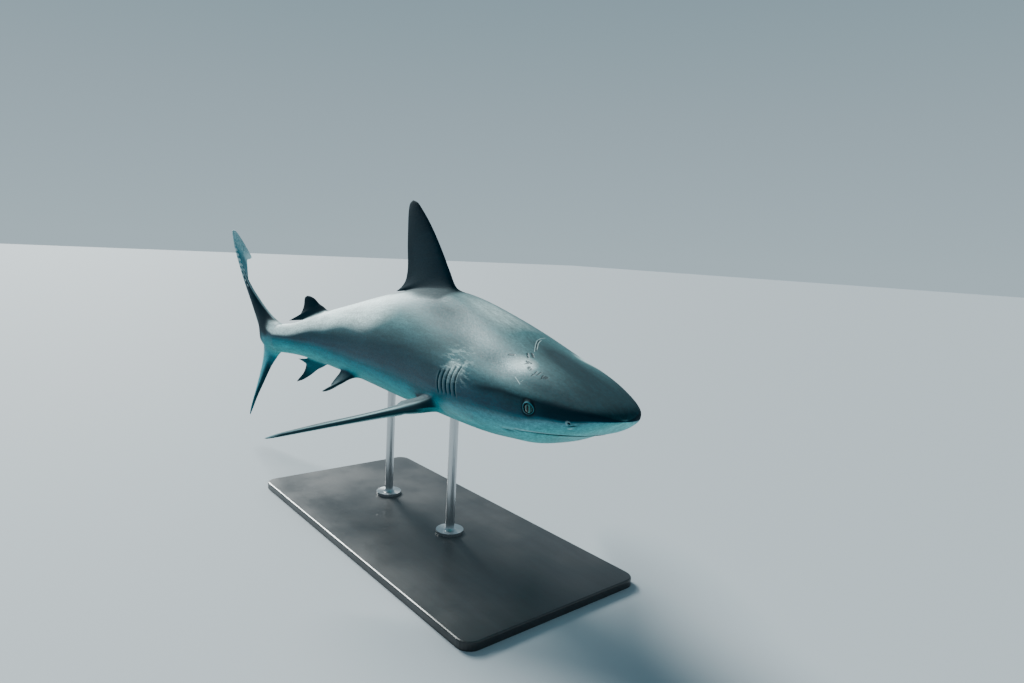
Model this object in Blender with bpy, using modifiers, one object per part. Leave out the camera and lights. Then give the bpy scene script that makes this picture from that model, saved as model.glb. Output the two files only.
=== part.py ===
# Life-size still model of a Caribbean reef shark, banking as it swims, on a plain display stand.
#
# Every body size is a percentage of the shark's total length, and a place on the body is
# (distance behind the snout, offset to the shark's right, height above its axis).
# place() carries such a place along the bent axis into the world: metres, +X ahead, +Z up.

import math

import bmesh
import bpy
import numpy as np

# driving dimensions, metres
TOTAL_LENGTH = 2.10       # snout to tail tip, with the tail laid straight
AXIS_HEIGHT = 0.45        # of the body axis above the floor, at POSE_ORIGIN
GAP = 0.0003              # left between touching solids
CENTRE_SHIFT = (-0.106, 0.026)   # brings the centre of mass over the middle of the stand

# the way the axis bends: percent of length: heading, nose-up pitch, bank to the right (degrees)
POSE_ORIGIN = 40
POSE = {
    0: (-16.2, 0.8, -0.8),
    12: (-12.9, 0.3, -0.2),
    25: (-8.1, 0.2, -0.1),
    40: (-0.1, 3.0, -1.2),
    55: (7.3, 5.2, -2.9),
    70: (11.6, 5.0, -3.8),
    85: (-3.0, 1.7, -4.2),
    100: (-16.0, -1.7, -3.2),
}
SPINE_STEPS = 400

# body sections: name: (behind snout, top, bottom, half width, height of the widest line)
SECTIONS = {
    "snout tip": (0.0, 0.00, 0.00, 0.00, 0.00),
    "snout front": (1.0, 0.82, -0.72, 2.03, 0.05),
    "nostril": (3.0, 1.44, -1.78, 3.21, 0.12),
    "snout": (5.0, 1.96, -2.46, 3.91, 0.20),
    "eye": (7.2, 2.47, -3.32, 4.53, 0.25),
    "jaw": (9.5, 2.92, -4.24, 5.04, 0.20),
    "mouth corner": (12.0, 3.38, -4.70, 5.50, 0.00),
    "cheek": (16.0, 4.33, -5.35, 6.08, -0.40),
    "gills": (20.0, 5.25, -5.87, 6.35, -0.70),
    "shoulder": (25.0, 6.25, -6.29, 6.43, -0.80),
    "first dorsal": (32.0, 7.33, -6.60, 6.20, -0.60),
    "mid trunk": (40.0, 7.12, -6.44, 5.73, -0.40),
    "pelvic": (50.0, 5.84, -5.40, 4.60, -0.20),
    "loin": (58.0, 4.55, -4.26, 3.54, 0.00),
    "second dorsal": (65.0, 3.31, -3.14, 2.54, 0.05),
    "stalk": (70.0, 2.26, -2.62, 1.86, 0.00),
    "tail root": (74.5, 1.92, -2.52, 1.42, -0.20),
}
BACK_FULLNESS = 1.95      # superellipse power above the widest line: 2 is an ellipse
BELLY_FULLNESS = 2.15     # the same below it
CHIN_FLATNESS = 0.65      # added to it under the flat snout and jaws
CHIN_PLACE, CHIN_SPREAD = 9.0, 8.5
SNOUT_START = 0.006       # the first ring, just off the very tip
RING_POINTS = 34

# where the body is parted: name: (from, to, rings between them)
BODY_LENGTHS = {
    "head": (SNOUT_START, 17.6, 15),
    "gill_region": (17.6, 24.5, 6),
    "trunk_front": (24.5, 43.0, 10),
    "trunk_rear": (43.0, 61.0, 9),
    "tail_stalk": (61.0, 74.5, 8),
}

EYE_PLACE = (7.09, -0.45)           # behind snout, height
EYE_RADIUS, EYE_DEPTH = 0.0155, 0.0123
NOSTRIL_PLACE = (3.05, -0.98)
NOSTRIL_RADII = (0.0065, 0.0040, 0.0026)
MOUTH_FRONT = (4.25, -2.22)         # the jaw's parting plane passes through these two
MOUTH_CORNER = (9.75, -2.82)
JAW_FRONT, JAW_BACK, JAW_REACH = 2.0, 11.2, 9.0   # of the block that parts the jaw
GILLS = {"count": 5, "first": 18.15, "step": 0.95, "height": -0.24, "drop": -0.18,
         "half": 1.45, "bow": 0.28, "slant": -0.22, "width": 0.0018, "depth": 0.006,
         "shallow_ends": 0.6, "proud": 0.004, "rows": 4}

# fin edges from root to tip: (share of the way, behind snout, height)
FIRST_DORSAL = {
    "front": [(0, 31.8, 6.60), (.10, 32.15, 7.70), (.30, 34.1, 10.40), (.50, 35.95, 12.75),
              (.70, 38.0, 15.10), (.85, 39.85, 16.90), (.94, 41.0, 17.85), (1, 41.85, 18.15)],
    "rear": [(0, 41.8, 6.30), (.06, 43.8, 6.72), (.13, 45.5, 6.72), (.20, 44.2, 7.32),
             (.30, 43.05, 8.50), (.42, 42.75, 10.10), (.60, 42.9, 13.00), (.80, 42.88, 16.00),
             (.92, 42.62, 17.65), (1, 42.0, 18.13)],
    "thick": [(0, .80), (.12, .58), (.5, .36), (.85, .20), (1, .05)], "rings": 14,
}
SECOND_DORSAL = {
    "front": [(0, 62.05, 3.50), (.12, 62.4, 4.30), (.40, 64.1, 5.15), (.70, 65.45, 6.00),
              (.90, 66.5, 6.32), (1, 67.05, 6.38)],
    "rear": [(0, 67.2, 2.10), (.12, 70.0, 2.55), (.25, 72.0, 2.52), (.40, 69.85, 3.05),
             (.55, 68.6, 3.85), (.75, 67.95, 5.00), (.90, 67.8, 6.00), (1, 67.25, 6.38)],
    "thick": [(0, .42), (.3, .27), (.8, .14), (1, .03)], "rings": 10,
}
ANAL = {
    "front": [(0, 61.95, -3.10), (.12, 62.35, -3.85), (.40, 64.4, -4.70), (.70, 66.4, -5.75),
              (.90, 68.4, -6.55), (1, 69.5, -6.82)],
    "rear": [(0, 66.0, -2.45), (.12, 67.8, -3.20), (.25, 69.2, -3.25), (.40, 67.8, -3.55),
             (.55, 67.2, -4.10), (.75, 67.7, -5.20), (.90, 68.9, -6.25), (1, 69.6, -6.80)],
    "thick": [(0, .42), (.3, .27), (.8, .14), (1, .03)], "rings": 10,
}
# the tail twists, so its edges also have an offset to the right: (share, behind snout, right, height)
TAIL_LOWER = {
    "front": [(0, 74.3, 0, -1.00), (.10, 74.7, 0, -2.60), (.30, 76.8, .2, -5.00),
              (.50, 78.7, .4, -7.80), (.75, 80.9, .5, -10.80), (.93, 82.6, .4, -13.20),
              (1, 83.3, .3, -14.00)],
    "rear": [(0, 83.6, -.6, 1.00), (.10, 82.9, -.6, 0.00), (.25, 81.7, -.7, -2.00),
             (.40, 81.6, -.6, -4.20), (.60, 82.1, -.3, -7.80), (.80, 82.9, 0, -11.20),
             (.93, 83.5, .2, -13.30), (1, 83.5, .25, -14.00)],
    "thick": [(0, .60), (.10, .46), (.5, .30), (.85, .16), (1, .03)], "rings": 12,
}
TAIL_UPPER = {     # carries on from the stalk
    "front": [(0, 74.5, 0, 1.92), (.10, 77.0, 0, 2.90), (.20, 79.5, .1, 4.10),
              (.30, 82.0, .4, 5.50), (.40, 84.5, 1.0, 7.30), (.50, 87.0, 1.6, 9.30),
              (.60, 89.5, 2.1, 11.50), (.70, 91.6, 2.5, 13.40), (.80, 93.2, 2.8, 15.00),
              (.95, 95.3, 2.9, 16.70), (1, 95.6, 2.7, 16.95)],
    "rear": [(0, 74.5, 0, -2.52), (.10, 78.3, .1, -2.15), (.20, 81.9, -.2, -1.20),
             (.30, 84.0, -.5, .80), (.40, 86.8, -.4, 3.10), (.50, 89.3, -.1, 5.60),
             (.60, 91.7, .1, 8.20), (.70, 93.5, .2, 10.60), (.75, 93.9, .3, 11.80),
             (.80, 95.0, -.6, 12.30), (.88, 95.5, .5, 14.30), (.95, 95.9, 1.5, 15.85),
             (1, 95.8, 2.3, 16.85)],
    "thick": [(0, 1.42), (.08, .98), (.16, .64), (.3, .45), (.5, .34), (.75, .24), (.9, .15),
              (1, .04)],
    "rings": 21,
}
# paired fins: root point, the fin plane's own directions, then edges as
# (share, behind root, outward, above the plane)
PECTORAL = {
    "root": (24.3, 5.0, -3.6), "back": (1.0, 0.0, -.17), "out": (0.0, 1.40, -.28),
    "front": [(0, -.2, -1.0, 0), (.10, .4, 1.2, 0), (.30, 3.0, 5.0, .05), (.50, 6.2, 8.5, 0),
              (.70, 9.2, 11.3, 0), (.88, 11.9, 13.6, 0), (.96, 12.9, 14.5, 0),
              (1, 13.35, 14.85, 0)],
    "rear": [(0, 5.4, -1.0, 0), (.06, 6.1, .4, -.1), (.13, 7.1, 1.75, .15), (.18, 6.8, 2.2, -.3),
             (.26, 7.0, 3.4, -.3), (.40, 8.2, 5.9, -.15), (.60, 10.3, 9.2, 0),
             (.80, 12.2, 12.2, 0), (.93, 13.3, 14.0, 0), (1, 13.5, 14.8, 0)],
    "thick": [(0, .95), (.10, .72), (.2, .50), (.4, .34), (.7, .24), (.9, .15), (1, .04)],
    "rings": 13,
}
PELVIC = {
    "root": (49.7, 3.1, -4.3), "back": (1.0, 0.0, -.05), "out": (0.0, 3.0, -2.6),
    "front": [(0, -.2, -.8, 0), (.20, .6, .4, 0), (.50, 2.2, 1.7, 0), (.80, 3.6, 2.8, 0),
              (.95, 4.3, 3.25, 0), (1, 4.55, 3.35, 0)],
    "rear": [(0, 4.5, -.8, 0), (.15, 5.6, .1, -.5), (.30, 6.6, .8, -1.1), (.45, 6.0, 1.4, -1.1),
             (.70, 5.3, 2.3, -.8), (.90, 4.9, 3.1, -.3), (1, 4.7, 3.35, 0)],
    "thick": [(0, .50), (.3, .30), (.8, .15), (1, .03)], "rings": 9,
}
BLADE_POINTS = 7          # across one face of a fin, front edge to rear edge
ROOT_CROWDING = 0.85      # power that moves a fin's rings towards its root
EDGE_HALF = 0.04          # half the thickness of a fin's rear edge, percent

STAND_BASE = (1.00, 0.46, 0.018)
BASE_CORNER, BASE_EDGE = 0.030, 0.003
ROD_PLACES = {"stand_rod_front": 31.0, "stand_rod_rear": 46.0}
ROD_RADIUS = 0.011
FLANGE_RADIUS, FLANGE_HEIGHT, FLANGE_SLOPE = 0.034, 0.008, 0.004
ROD_SINK = 0.03           # how far a rod runs into the belly before it is cut to the skin
ROD_SIDES = 20


def clear_scene():
    for item in list(bpy.data.objects):
        bpy.data.objects.remove(item, do_unlink=True)


def make_collection(name):
    group = bpy.data.collections.new(name)
    bpy.context.scene.collection.children.link(group)
    return group


def make_material(name, colour, roughness, metallic=0.0):
    material = bpy.data.materials.new(name)
    material.use_nodes = True
    shader = material.node_tree.nodes["Principled BSDF"]
    shader.inputs["Base Color"].default_value = (*colour, 1.0)
    shader.inputs["Roughness"].default_value = roughness
    shader.inputs["Metallic"].default_value = metallic
    material.diffuse_color = (*colour, 1.0)
    return material


def smooth_curve(known_x, known_y, x):
    """Natural cubic spline: the curvature is continuous and is zero at both ends."""
    known_x, known_y = np.asarray(known_x, float), np.asarray(known_y, float)
    step = np.diff(known_x)
    count = len(known_x)
    system, right = np.eye(count), np.zeros(count)
    for i in range(1, count - 1):
        system[i, i - 1:i + 2] = step[i - 1], 2 * (step[i - 1] + step[i]), step[i]
        right[i] = 6 * ((known_y[i + 1] - known_y[i]) / step[i]
                        - (known_y[i] - known_y[i - 1]) / step[i - 1])
    bend = np.linalg.solve(system, right)
    k = np.clip(np.searchsorted(known_x, x) - 1, 0, count - 2)
    before, after = (known_x[k + 1] - x) / step[k], (x - known_x[k]) / step[k]
    return (before * known_y[k] + after * known_y[k + 1]
            + ((before**3 - before) * bend[k] + (after**3 - after) * bend[k + 1]) * step[k]**2 / 6)


def steady_curve(known_x, known_y, x):
    """Monotone cubic: it never swings past its points, so a fin's corners stay put."""
    known_x, known_y = np.asarray(known_x, float), np.asarray(known_y, float)
    step = np.diff(known_x)
    rise = np.diff(known_y) / step
    slope = np.zeros(len(known_x))
    slope[0], slope[-1] = rise[0], rise[-1]
    same_way = rise[1:] * rise[:-1] > 0
    weight_a, weight_b = 2 * step[1:] + step[:-1], step[1:] + 2 * step[:-1]
    safe = np.where(same_way, rise[:-1], 1.0), np.where(same_way, rise[1:], 1.0)
    mean = (weight_a + weight_b) / (weight_a / safe[0] + weight_b / safe[1])
    slope[1:-1] = np.where(same_way, mean, 0.0)
    k = np.clip(np.searchsorted(known_x, x) - 1, 0, len(known_x) - 2)
    t = (x - known_x[k]) / step[k]
    return (known_y[k] * (1 + 2 * t) * (1 - t)**2 + known_y[k + 1] * t**2 * (3 - 2 * t)
            + step[k] * t * (1 - t) * (slope[k] * (1 - t) - slope[k + 1] * t))


def bend_axis():
    """Positions and side and up directions along the bent axis, in lengths of the shark."""
    along = np.linspace(0, 100, SPINE_STEPS + 1)
    stations = sorted(POSE)
    heading, pitch, bank = (np.radians(smooth_curve(stations, [POSE[s][i] for s in stations], along))
                            for i in range(3))
    ahead = np.stack([np.cos(heading) * np.cos(pitch), np.sin(heading) * np.cos(pitch),
                      np.sin(pitch)], axis=1)
    level_right = np.cross(ahead, (0.0, 0.0, 1.0))
    level_right /= np.linalg.norm(level_right, axis=1)[:, None]
    level_up = np.cross(level_right, ahead)
    cosine, sine = np.cos(bank)[:, None], np.sin(bank)[:, None]
    right = level_right * cosine - level_up * sine
    up = level_up * cosine + level_right * sine
    steps = (ahead[1:] + ahead[:-1]) / 2 / SPINE_STEPS
    position = np.vstack([np.zeros(3), -np.cumsum(steps, axis=0)])
    position -= position[POSE_ORIGIN * SPINE_STEPS // 100]
    return along, position, right, up


AXIS = bend_axis()


def place(points):
    """World points, in metres, of (behind snout, right, height) places in percent."""
    points = np.asarray(points, float)
    along, position, right, up = AXIS
    s = points[..., 0]
    centre, side, above = (np.stack([np.interp(s, along, table[:, i]) for i in range(3)], axis=-1)
                           for table in (position, right, up))
    world = (centre + side * points[..., 1:2] / 100 + above * points[..., 2:3] / 100) * TOTAL_LENGTH
    return world + np.array([*CENTRE_SHIFT, AXIS_HEIGHT])


def section_sizes(s):
    """Top, bottom, half width, widest height and belly power of the body section at s."""
    # the sizes run smoothly with the square root of the distance, which rounds the snout
    table = np.array(list(SECTIONS.values()))
    root = np.sqrt(np.asarray(s, float))
    top, bottom, half, widest = (smooth_curve(np.sqrt(table[:, 0]), table[:, i], root)
                                 for i in (1, 2, 3, 4))
    flat = np.exp(-((np.asarray(s, float) - CHIN_PLACE) / CHIN_SPREAD)**2)
    return top, bottom, half, widest, BELLY_FULLNESS + CHIN_FLATNESS * flat


def body_rings(stations, swell=0.0):
    """Rings of superellipse points round the axis; swell is added all round, in percent."""
    s = np.asarray(stations, float)[:, None]
    top, bottom, half, widest, belly = section_sizes(s)
    angle = np.linspace(0, 2 * math.pi, RING_POINTS, endpoint=False)[None, :]
    sine, cosine = np.sin(angle), np.cos(angle)
    power = np.where(cosine > 0, BACK_FULLNESS, belly)
    reach = np.where(cosine > 0, top - widest, widest - bottom) + swell
    right = (half + swell) * np.sign(sine) * np.abs(sine)**(2 / power)
    height = widest + reach * np.sign(cosine) * np.abs(cosine)**(2 / power)
    return place(np.stack([s + 0 * angle, right, height], axis=-1))


def body_stations(first, last, count):
    """Ring stations, even in the square root of the distance, so they crowd at the snout."""
    return np.linspace(math.sqrt(first), math.sqrt(last), count + 1)**2


def flank(s, height, side):
    """Place on the skin at this distance and height, and the skin's outward direction there."""
    def on_skin(s_here, height_here):
        top, bottom, half, widest, belly = section_sizes(s_here)
        above = height_here > widest
        power = np.where(above, BACK_FULLNESS, belly)
        reach = np.where(above, top - widest, widest - bottom)
        share = np.clip(np.abs(height_here - widest) / reach, 0, 1)
        right = half * (1 - share**power)**(1 / power)
        return place(np.array([s_here, side * float(right), height_here]))
    here, small = on_skin(s, height), 0.05
    outward = np.cross(on_skin(s + small, height) - here, on_skin(s, height + small) - here)
    outward /= np.linalg.norm(outward)
    across = place(np.array([s, side, 0.0])) - place(np.array([s, 0.0, 0.0]))
    return here, outward if outward @ across > 0 else -outward


def solid_from_rings(name, rings, group, material):
    """A closed loft through rings of matching points, with a flat cap on both ends."""
    mesh = bpy.data.meshes.new(name)
    work = bmesh.new()
    loops = [[work.verts.new(point) for point in ring] for ring in rings]
    for ring, following in zip(loops, loops[1:]):
        for i in range(len(ring)):
            j = (i + 1) % len(ring)
            work.faces.new((ring[i], ring[j], following[j]))
            work.faces.new((ring[i], following[j], following[i]))
    work.faces.new(loops[0][::-1])
    work.faces.new(loops[-1])
    bmesh.ops.recalc_face_normals(work, faces=work.faces)
    work.to_mesh(mesh)
    work.free()
    mesh.shade_smooth()
    mesh.set_sharp_from_angle(angle=math.radians(40))
    item = bpy.data.objects.new(name, mesh)
    item.data.materials.append(material)
    group.objects.link(item)
    return item


def make_cutter(item):
    item.hide_render = True
    item.display_type = "WIRE"
    return item


def use_cutter(item, cutter, operation="DIFFERENCE"):
    cut = item.modifiers.new(cutter.name, "BOOLEAN")
    cut.operation = operation
    cut.object = cutter
    cut.solver = "EXACT"


def foil(share, root_round):
    """Half thickness across a fin, 0 to 1: a round front and a fine rear, or an ellipse."""
    wing = (2.969 * np.sqrt(share) - 1.26 * share - 3.516 * share**2 + 2.843 * share**3
            - 1.036 * share**4)
    ellipse = 2 * np.sqrt(share * (1 - share))
    return wing * (1 - root_round) + ellipse * root_round


def blade_rings(front, rear, thick, rings, carry_on=0.0, swell=0.0):
    """Rings round a fin from root to tip; front and rear are (share, three sizes) rows.

    carry_on is the share of the way over which an elliptic root section turns into a foil.
    """
    share = np.linspace(0, 1, rings) ** ROOT_CROWDING
    edges = []
    for rows in (front, rear):
        rows = np.array(rows, float)
        edges.append(np.stack([steady_curve(rows[:, 0], rows[:, i], share) for i in (1, 2, 3)], axis=1))
    lead, trail = edges
    thick = np.array(thick, float)
    half = steady_curve(thick[:, 0], thick[:, 1], share)
    chord = trail - lead
    span = np.gradient((lead + trail) / 2, axis=0)
    face = np.cross(chord, span)
    face /= np.linalg.norm(face, axis=1)[:, None]
    run = chord / np.linalg.norm(chord, axis=1)[:, None]
    lead, chord = lead - run * swell, chord + 2 * run * swell
    across = 0.5 - 0.5 * np.cos(np.linspace(0, math.pi, BLADE_POINTS))
    rounding = np.clip(1 - share / carry_on, 0, 1) if carry_on else np.zeros(rings)
    bulge = half[:, None] * foil(across[None, :], rounding[:, None]) + swell
    bulge += EDGE_HALF * (across > 0) * (1 - rounding[:, None])
    spine = lead[:, None] + chord[:, None] * across[None, :, None]
    near = spine + face[:, None] * bulge[..., None]
    far = spine - face[:, None] * bulge[..., None]
    far[:, 0] = near[:, 0] = (near[:, 0] + far[:, 0]) / 2
    return np.concatenate([near, far[:, :0:-1]], axis=1)


def midline(rows):
    """Edge rows of a fin on the midline, with a zero offset to the right."""
    return [(share, s, 0.0, height) for share, s, height in rows]


def midline_fin(sizes):
    return place(blade_rings(midline(sizes["front"]), midline(sizes["rear"]), sizes["thick"],
                             sizes["rings"]))


def paired_fin(sizes, side):
    """Rings of a fin in its own tilted plane, on the right (side 1) or the left (side -1)."""
    root = np.array(sizes["root"])
    back, out = np.array(sizes["back"]), np.array(sizes["out"])
    back, out = back / np.linalg.norm(back), out / np.linalg.norm(out)
    lift = np.cross(back, out)
    edges = []
    for rows in (sizes["front"], sizes["rear"]):
        edges.append([(share, *(root + behind * back + outward * out + above * lift))
                      for share, behind, outward, above in rows])
    rings = blade_rings(*edges, sizes["thick"], sizes["rings"])
    return place(rings * np.array([1.0, side, 1.0]))


def jaw_block(name, group, material, ease=0.0):
    """The space below the mouth plane, ahead of the jaw's back; ease makes it larger."""
    slope = (MOUTH_CORNER[1] - MOUTH_FRONT[1]) / (MOUTH_CORNER[0] - MOUTH_FRONT[0])
    rings = []
    for s in np.linspace(JAW_FRONT, JAW_BACK + ease, 6):
        ceiling = MOUTH_FRONT[1] + slope * (s - MOUTH_FRONT[0]) + ease
        rings.append(place([(s, -JAW_REACH, ceiling), (s, JAW_REACH, ceiling),
                            (s, JAW_REACH, -JAW_REACH), (s, -JAW_REACH, -JAW_REACH)]))
    return make_cutter(solid_from_rings(name, rings, group, material))


def ball(name, centre, radius, group, material, segments=16, rings=9, scale=(1, 1, 1)):
    mesh = bpy.data.meshes.new(name)
    work = bmesh.new()
    bmesh.ops.create_uvsphere(work, u_segments=segments, v_segments=rings, radius=radius)
    bmesh.ops.scale(work, vec=scale, verts=work.verts)
    work.to_mesh(mesh)
    work.free()
    mesh.shade_smooth()
    mesh.materials.append(material)
    item = bpy.data.objects.new(name, mesh)
    item.location = centre
    group.objects.link(item)
    return item


def gill_cutters(group, material):
    """Ten thin curved blades, five a side, which leave the gill slits in the skin."""
    half_width = GILLS["width"] / 2 / TOTAL_LENGTH * 100
    slits = []
    for side in (1, -1):
        for k in range(GILLS["count"]):
            rings = []
            for h in np.linspace(-1, 1, GILLS["rows"]):
                s = GILLS["first"] + k * GILLS["step"] + GILLS["bow"] * (1 - h * h) + GILLS["slant"] * h
                height = GILLS["height"] + k * GILLS["drop"] + h * GILLS["half"]
                floor = -GILLS["depth"] * (1 - GILLS["shallow_ends"] * h * h)
                skin, outward = flank(s, height, side)
                ahead = place([s - half_width, 0, 0]) - place([s, 0, 0])
                rings.append([skin + ahead * i + outward * j for i, j in (
                    (1, GILLS["proud"]), (-1, GILLS["proud"]), (-1, floor), (1, floor))])
            slits.append(make_cutter(solid_from_rings(f"gill_cut_{side}_{k}", rings, group, material)))
    return slits


def make_body(parts, cutters, skin):
    """The body in its lengths, head to tail stalk, and one swollen cutter of it all."""
    clearance = GAP / TOTAL_LENGTH * 100
    stations = []
    pieces = {}
    for name, (first, last, count) in BODY_LENGTHS.items():
        here = body_stations(first, last, count)
        stations.extend(here[:-1])
        if first > SNOUT_START:
            here[0] += clearance / 2
        here[-1] -= clearance / 2
        pieces[name] = solid_from_rings(name, body_rings(here), parts, skin)
    stations.append(last + clearance)
    rings = body_rings(stations, swell=clearance)
    whole = make_cutter(solid_from_rings("body_cutter", rings, cutters, skin))
    return pieces, whole


def make_head(pieces, parts, cutters, skin, eye_material):
    """Parts the lower jaw from the head, and sets the eyes and nostrils."""
    clearance = GAP / TOTAL_LENGTH * 100
    head = pieces["head"]
    jaw = bpy.data.objects.new("lower_jaw", head.data.copy())
    parts.objects.link(jaw)
    use_cutter(jaw, jaw_block("jaw_space", cutters, skin), "INTERSECT")
    use_cutter(head, jaw_block("jaw_cutter", cutters, skin, ease=clearance))
    for side, name in ((1, "right"), (-1, "left")):
        surface, outward = flank(*EYE_PLACE, side)
        centre = surface - outward * EYE_DEPTH
        ball(f"eye_{name}", centre, EYE_RADIUS, parts, eye_material)
        socket = ball(f"socket_{name}", centre, EYE_RADIUS + GAP, cutters, skin)
        use_cutter(head, make_cutter(socket))
        surface, outward = flank(*NOSTRIL_PLACE, side)
        pit = ball(f"nostril_{name}", surface, 1.0, cutters, skin, 12, 8, NOSTRIL_RADII)
        use_cutter(head, make_cutter(pit))


def make_fins(parts, cutters, body_cutter, fin_skin):
    """Every fin, cut back to the body; the tail's lower lobe is cut back to its upper one."""
    shapes = {
        "first_dorsal_fin": midline_fin(FIRST_DORSAL),
        "second_dorsal_fin": midline_fin(SECOND_DORSAL),
        "anal_fin": midline_fin(ANAL),
    }
    for side, name in ((1, "right"), (-1, "left")):
        shapes[f"pectoral_fin_{name}"] = paired_fin(PECTORAL, side)
        shapes[f"pelvic_fin_{name}"] = paired_fin(PELVIC, side)
    for name, rings in shapes.items():
        use_cutter(solid_from_rings(name, rings, parts, fin_skin), body_cutter)

    clearance = GAP / TOTAL_LENGTH * 100
    sizes = TAIL_UPPER["front"], TAIL_UPPER["rear"], TAIL_UPPER["thick"], TAIL_UPPER["rings"]
    rings = blade_rings(*sizes, carry_on=0.3)
    rings[0, :, 0] = BODY_LENGTHS["tail_stalk"][1] + clearance / 2
    solid_from_rings("tail_upper_lobe", place(rings), parts, fin_skin)
    rings = blade_rings(*sizes, carry_on=0.3, swell=clearance)
    upper_cutter = make_cutter(solid_from_rings("tail_cutter", place(rings), cutters, fin_skin))
    sizes = TAIL_LOWER["front"], TAIL_LOWER["rear"], TAIL_LOWER["thick"], TAIL_LOWER["rings"]
    lower = solid_from_rings("tail_lower_lobe", place(blade_rings(*sizes)), parts, fin_skin)
    use_cutter(lower, body_cutter)
    use_cutter(lower, upper_cutter)


def make_stand(parts, body_cutter, painted, steel):
    """A flat base with rounded corners, and two flanged rods that stop at the belly."""
    length, width, thickness = STAND_BASE
    work = bmesh.new()
    bmesh.ops.create_cube(work, size=1.0)
    bmesh.ops.scale(work, vec=STAND_BASE, verts=work.verts)
    bmesh.ops.translate(work, vec=(0, 0, thickness / 2), verts=work.verts)
    upright = [e for e in work.edges if abs(e.verts[0].co.z - e.verts[1].co.z) > thickness / 2]
    bmesh.ops.bevel(work, geom=upright, offset=BASE_CORNER, segments=6, profile=0.5,
                    affect="EDGES")
    rim = [e for e in work.edges if all(v.co.z > thickness - 1e-6 for v in e.verts)]
    bmesh.ops.bevel(work, geom=rim, offset=BASE_EDGE, segments=2, profile=0.5, affect="EDGES")
    mesh = bpy.data.meshes.new("stand_base")
    work.to_mesh(mesh)
    work.free()
    mesh.materials.append(painted)
    base = bpy.data.objects.new("stand_base", mesh)
    parts.objects.link(base)

    for name, s in ROD_PLACES.items():
        belly = place([s, 0.0, float(section_sizes(s)[1])])
        foot = thickness + GAP
        profile = [(0.0, belly[2] + ROD_SINK), (ROD_RADIUS, belly[2] + ROD_SINK),
                   (ROD_RADIUS, foot + FLANGE_HEIGHT + FLANGE_SLOPE),
                   (ROD_RADIUS + FLANGE_SLOPE, foot + FLANGE_HEIGHT),
                   (FLANGE_RADIUS, foot + FLANGE_HEIGHT), (FLANGE_RADIUS, foot), (0.0, foot)]
        mesh = bpy.data.meshes.new(name)
        mesh.from_pydata([(r, 0.0, z) for r, z in profile],
                         [(i, i + 1) for i in range(len(profile) - 1)], [])
        mesh.materials.append(steel)
        rod = bpy.data.objects.new(name, mesh)
        rod.location = (belly[0], belly[1], 0.0)
        parts.objects.link(rod)
        turn = rod.modifiers.new("turn", "SCREW")
        turn.steps = turn.render_steps = ROD_SIDES
        turn.use_merge_vertices = True
        turn.merge_threshold = 0.0001
        use_cutter(rod, body_cutter)


def main():
    clear_scene()
    parts = make_collection("reef_shark")
    cutters = make_collection("cutters")
    skin = make_material("shark_skin", (0.30, 0.34, 0.33), 0.45)
    fin_skin = make_material("fin_skin", (0.16, 0.20, 0.21), 0.45)
    eye = make_material("eye", (0.30, 0.33, 0.22), 0.08)
    painted = make_material("stand_paint", (0.06, 0.06, 0.065), 0.5)
    steel = make_material("stand_steel", (0.60, 0.60, 0.60), 0.3, 1.0)
    pieces, body_cutter = make_body(parts, cutters, skin)
    make_head(pieces, parts, cutters, skin, eye)
    for cut in gill_cutters(cutters, skin):
        use_cutter(pieces["gill_region"], cut)
    make_fins(parts, cutters, body_cutter, fin_skin)
    make_stand(parts, body_cutter, painted, steel)


main()
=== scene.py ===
import math
from functools import partial, reduce

import bpy
import numpy as np
from mathutils import Matrix, Vector


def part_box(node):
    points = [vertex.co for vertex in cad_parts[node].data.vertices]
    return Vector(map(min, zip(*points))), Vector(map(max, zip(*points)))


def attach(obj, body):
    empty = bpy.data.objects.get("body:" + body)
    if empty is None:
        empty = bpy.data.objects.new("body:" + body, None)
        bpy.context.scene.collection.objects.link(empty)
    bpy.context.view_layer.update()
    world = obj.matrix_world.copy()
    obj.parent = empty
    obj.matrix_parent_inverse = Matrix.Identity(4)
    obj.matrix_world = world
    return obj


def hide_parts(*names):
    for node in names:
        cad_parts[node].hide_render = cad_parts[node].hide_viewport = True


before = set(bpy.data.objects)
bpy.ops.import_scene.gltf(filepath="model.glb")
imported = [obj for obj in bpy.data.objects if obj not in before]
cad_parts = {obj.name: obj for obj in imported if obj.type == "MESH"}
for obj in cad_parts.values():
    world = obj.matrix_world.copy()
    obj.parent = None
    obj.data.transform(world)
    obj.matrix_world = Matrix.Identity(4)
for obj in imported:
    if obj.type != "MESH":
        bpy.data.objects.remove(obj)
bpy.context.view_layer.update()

# A reef shark swimming in a slight curve, on a plain stand. One skin covers the whole animal.
# Places on it are (behind snout, right, height), in percent of the shark's length laid straight.

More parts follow.
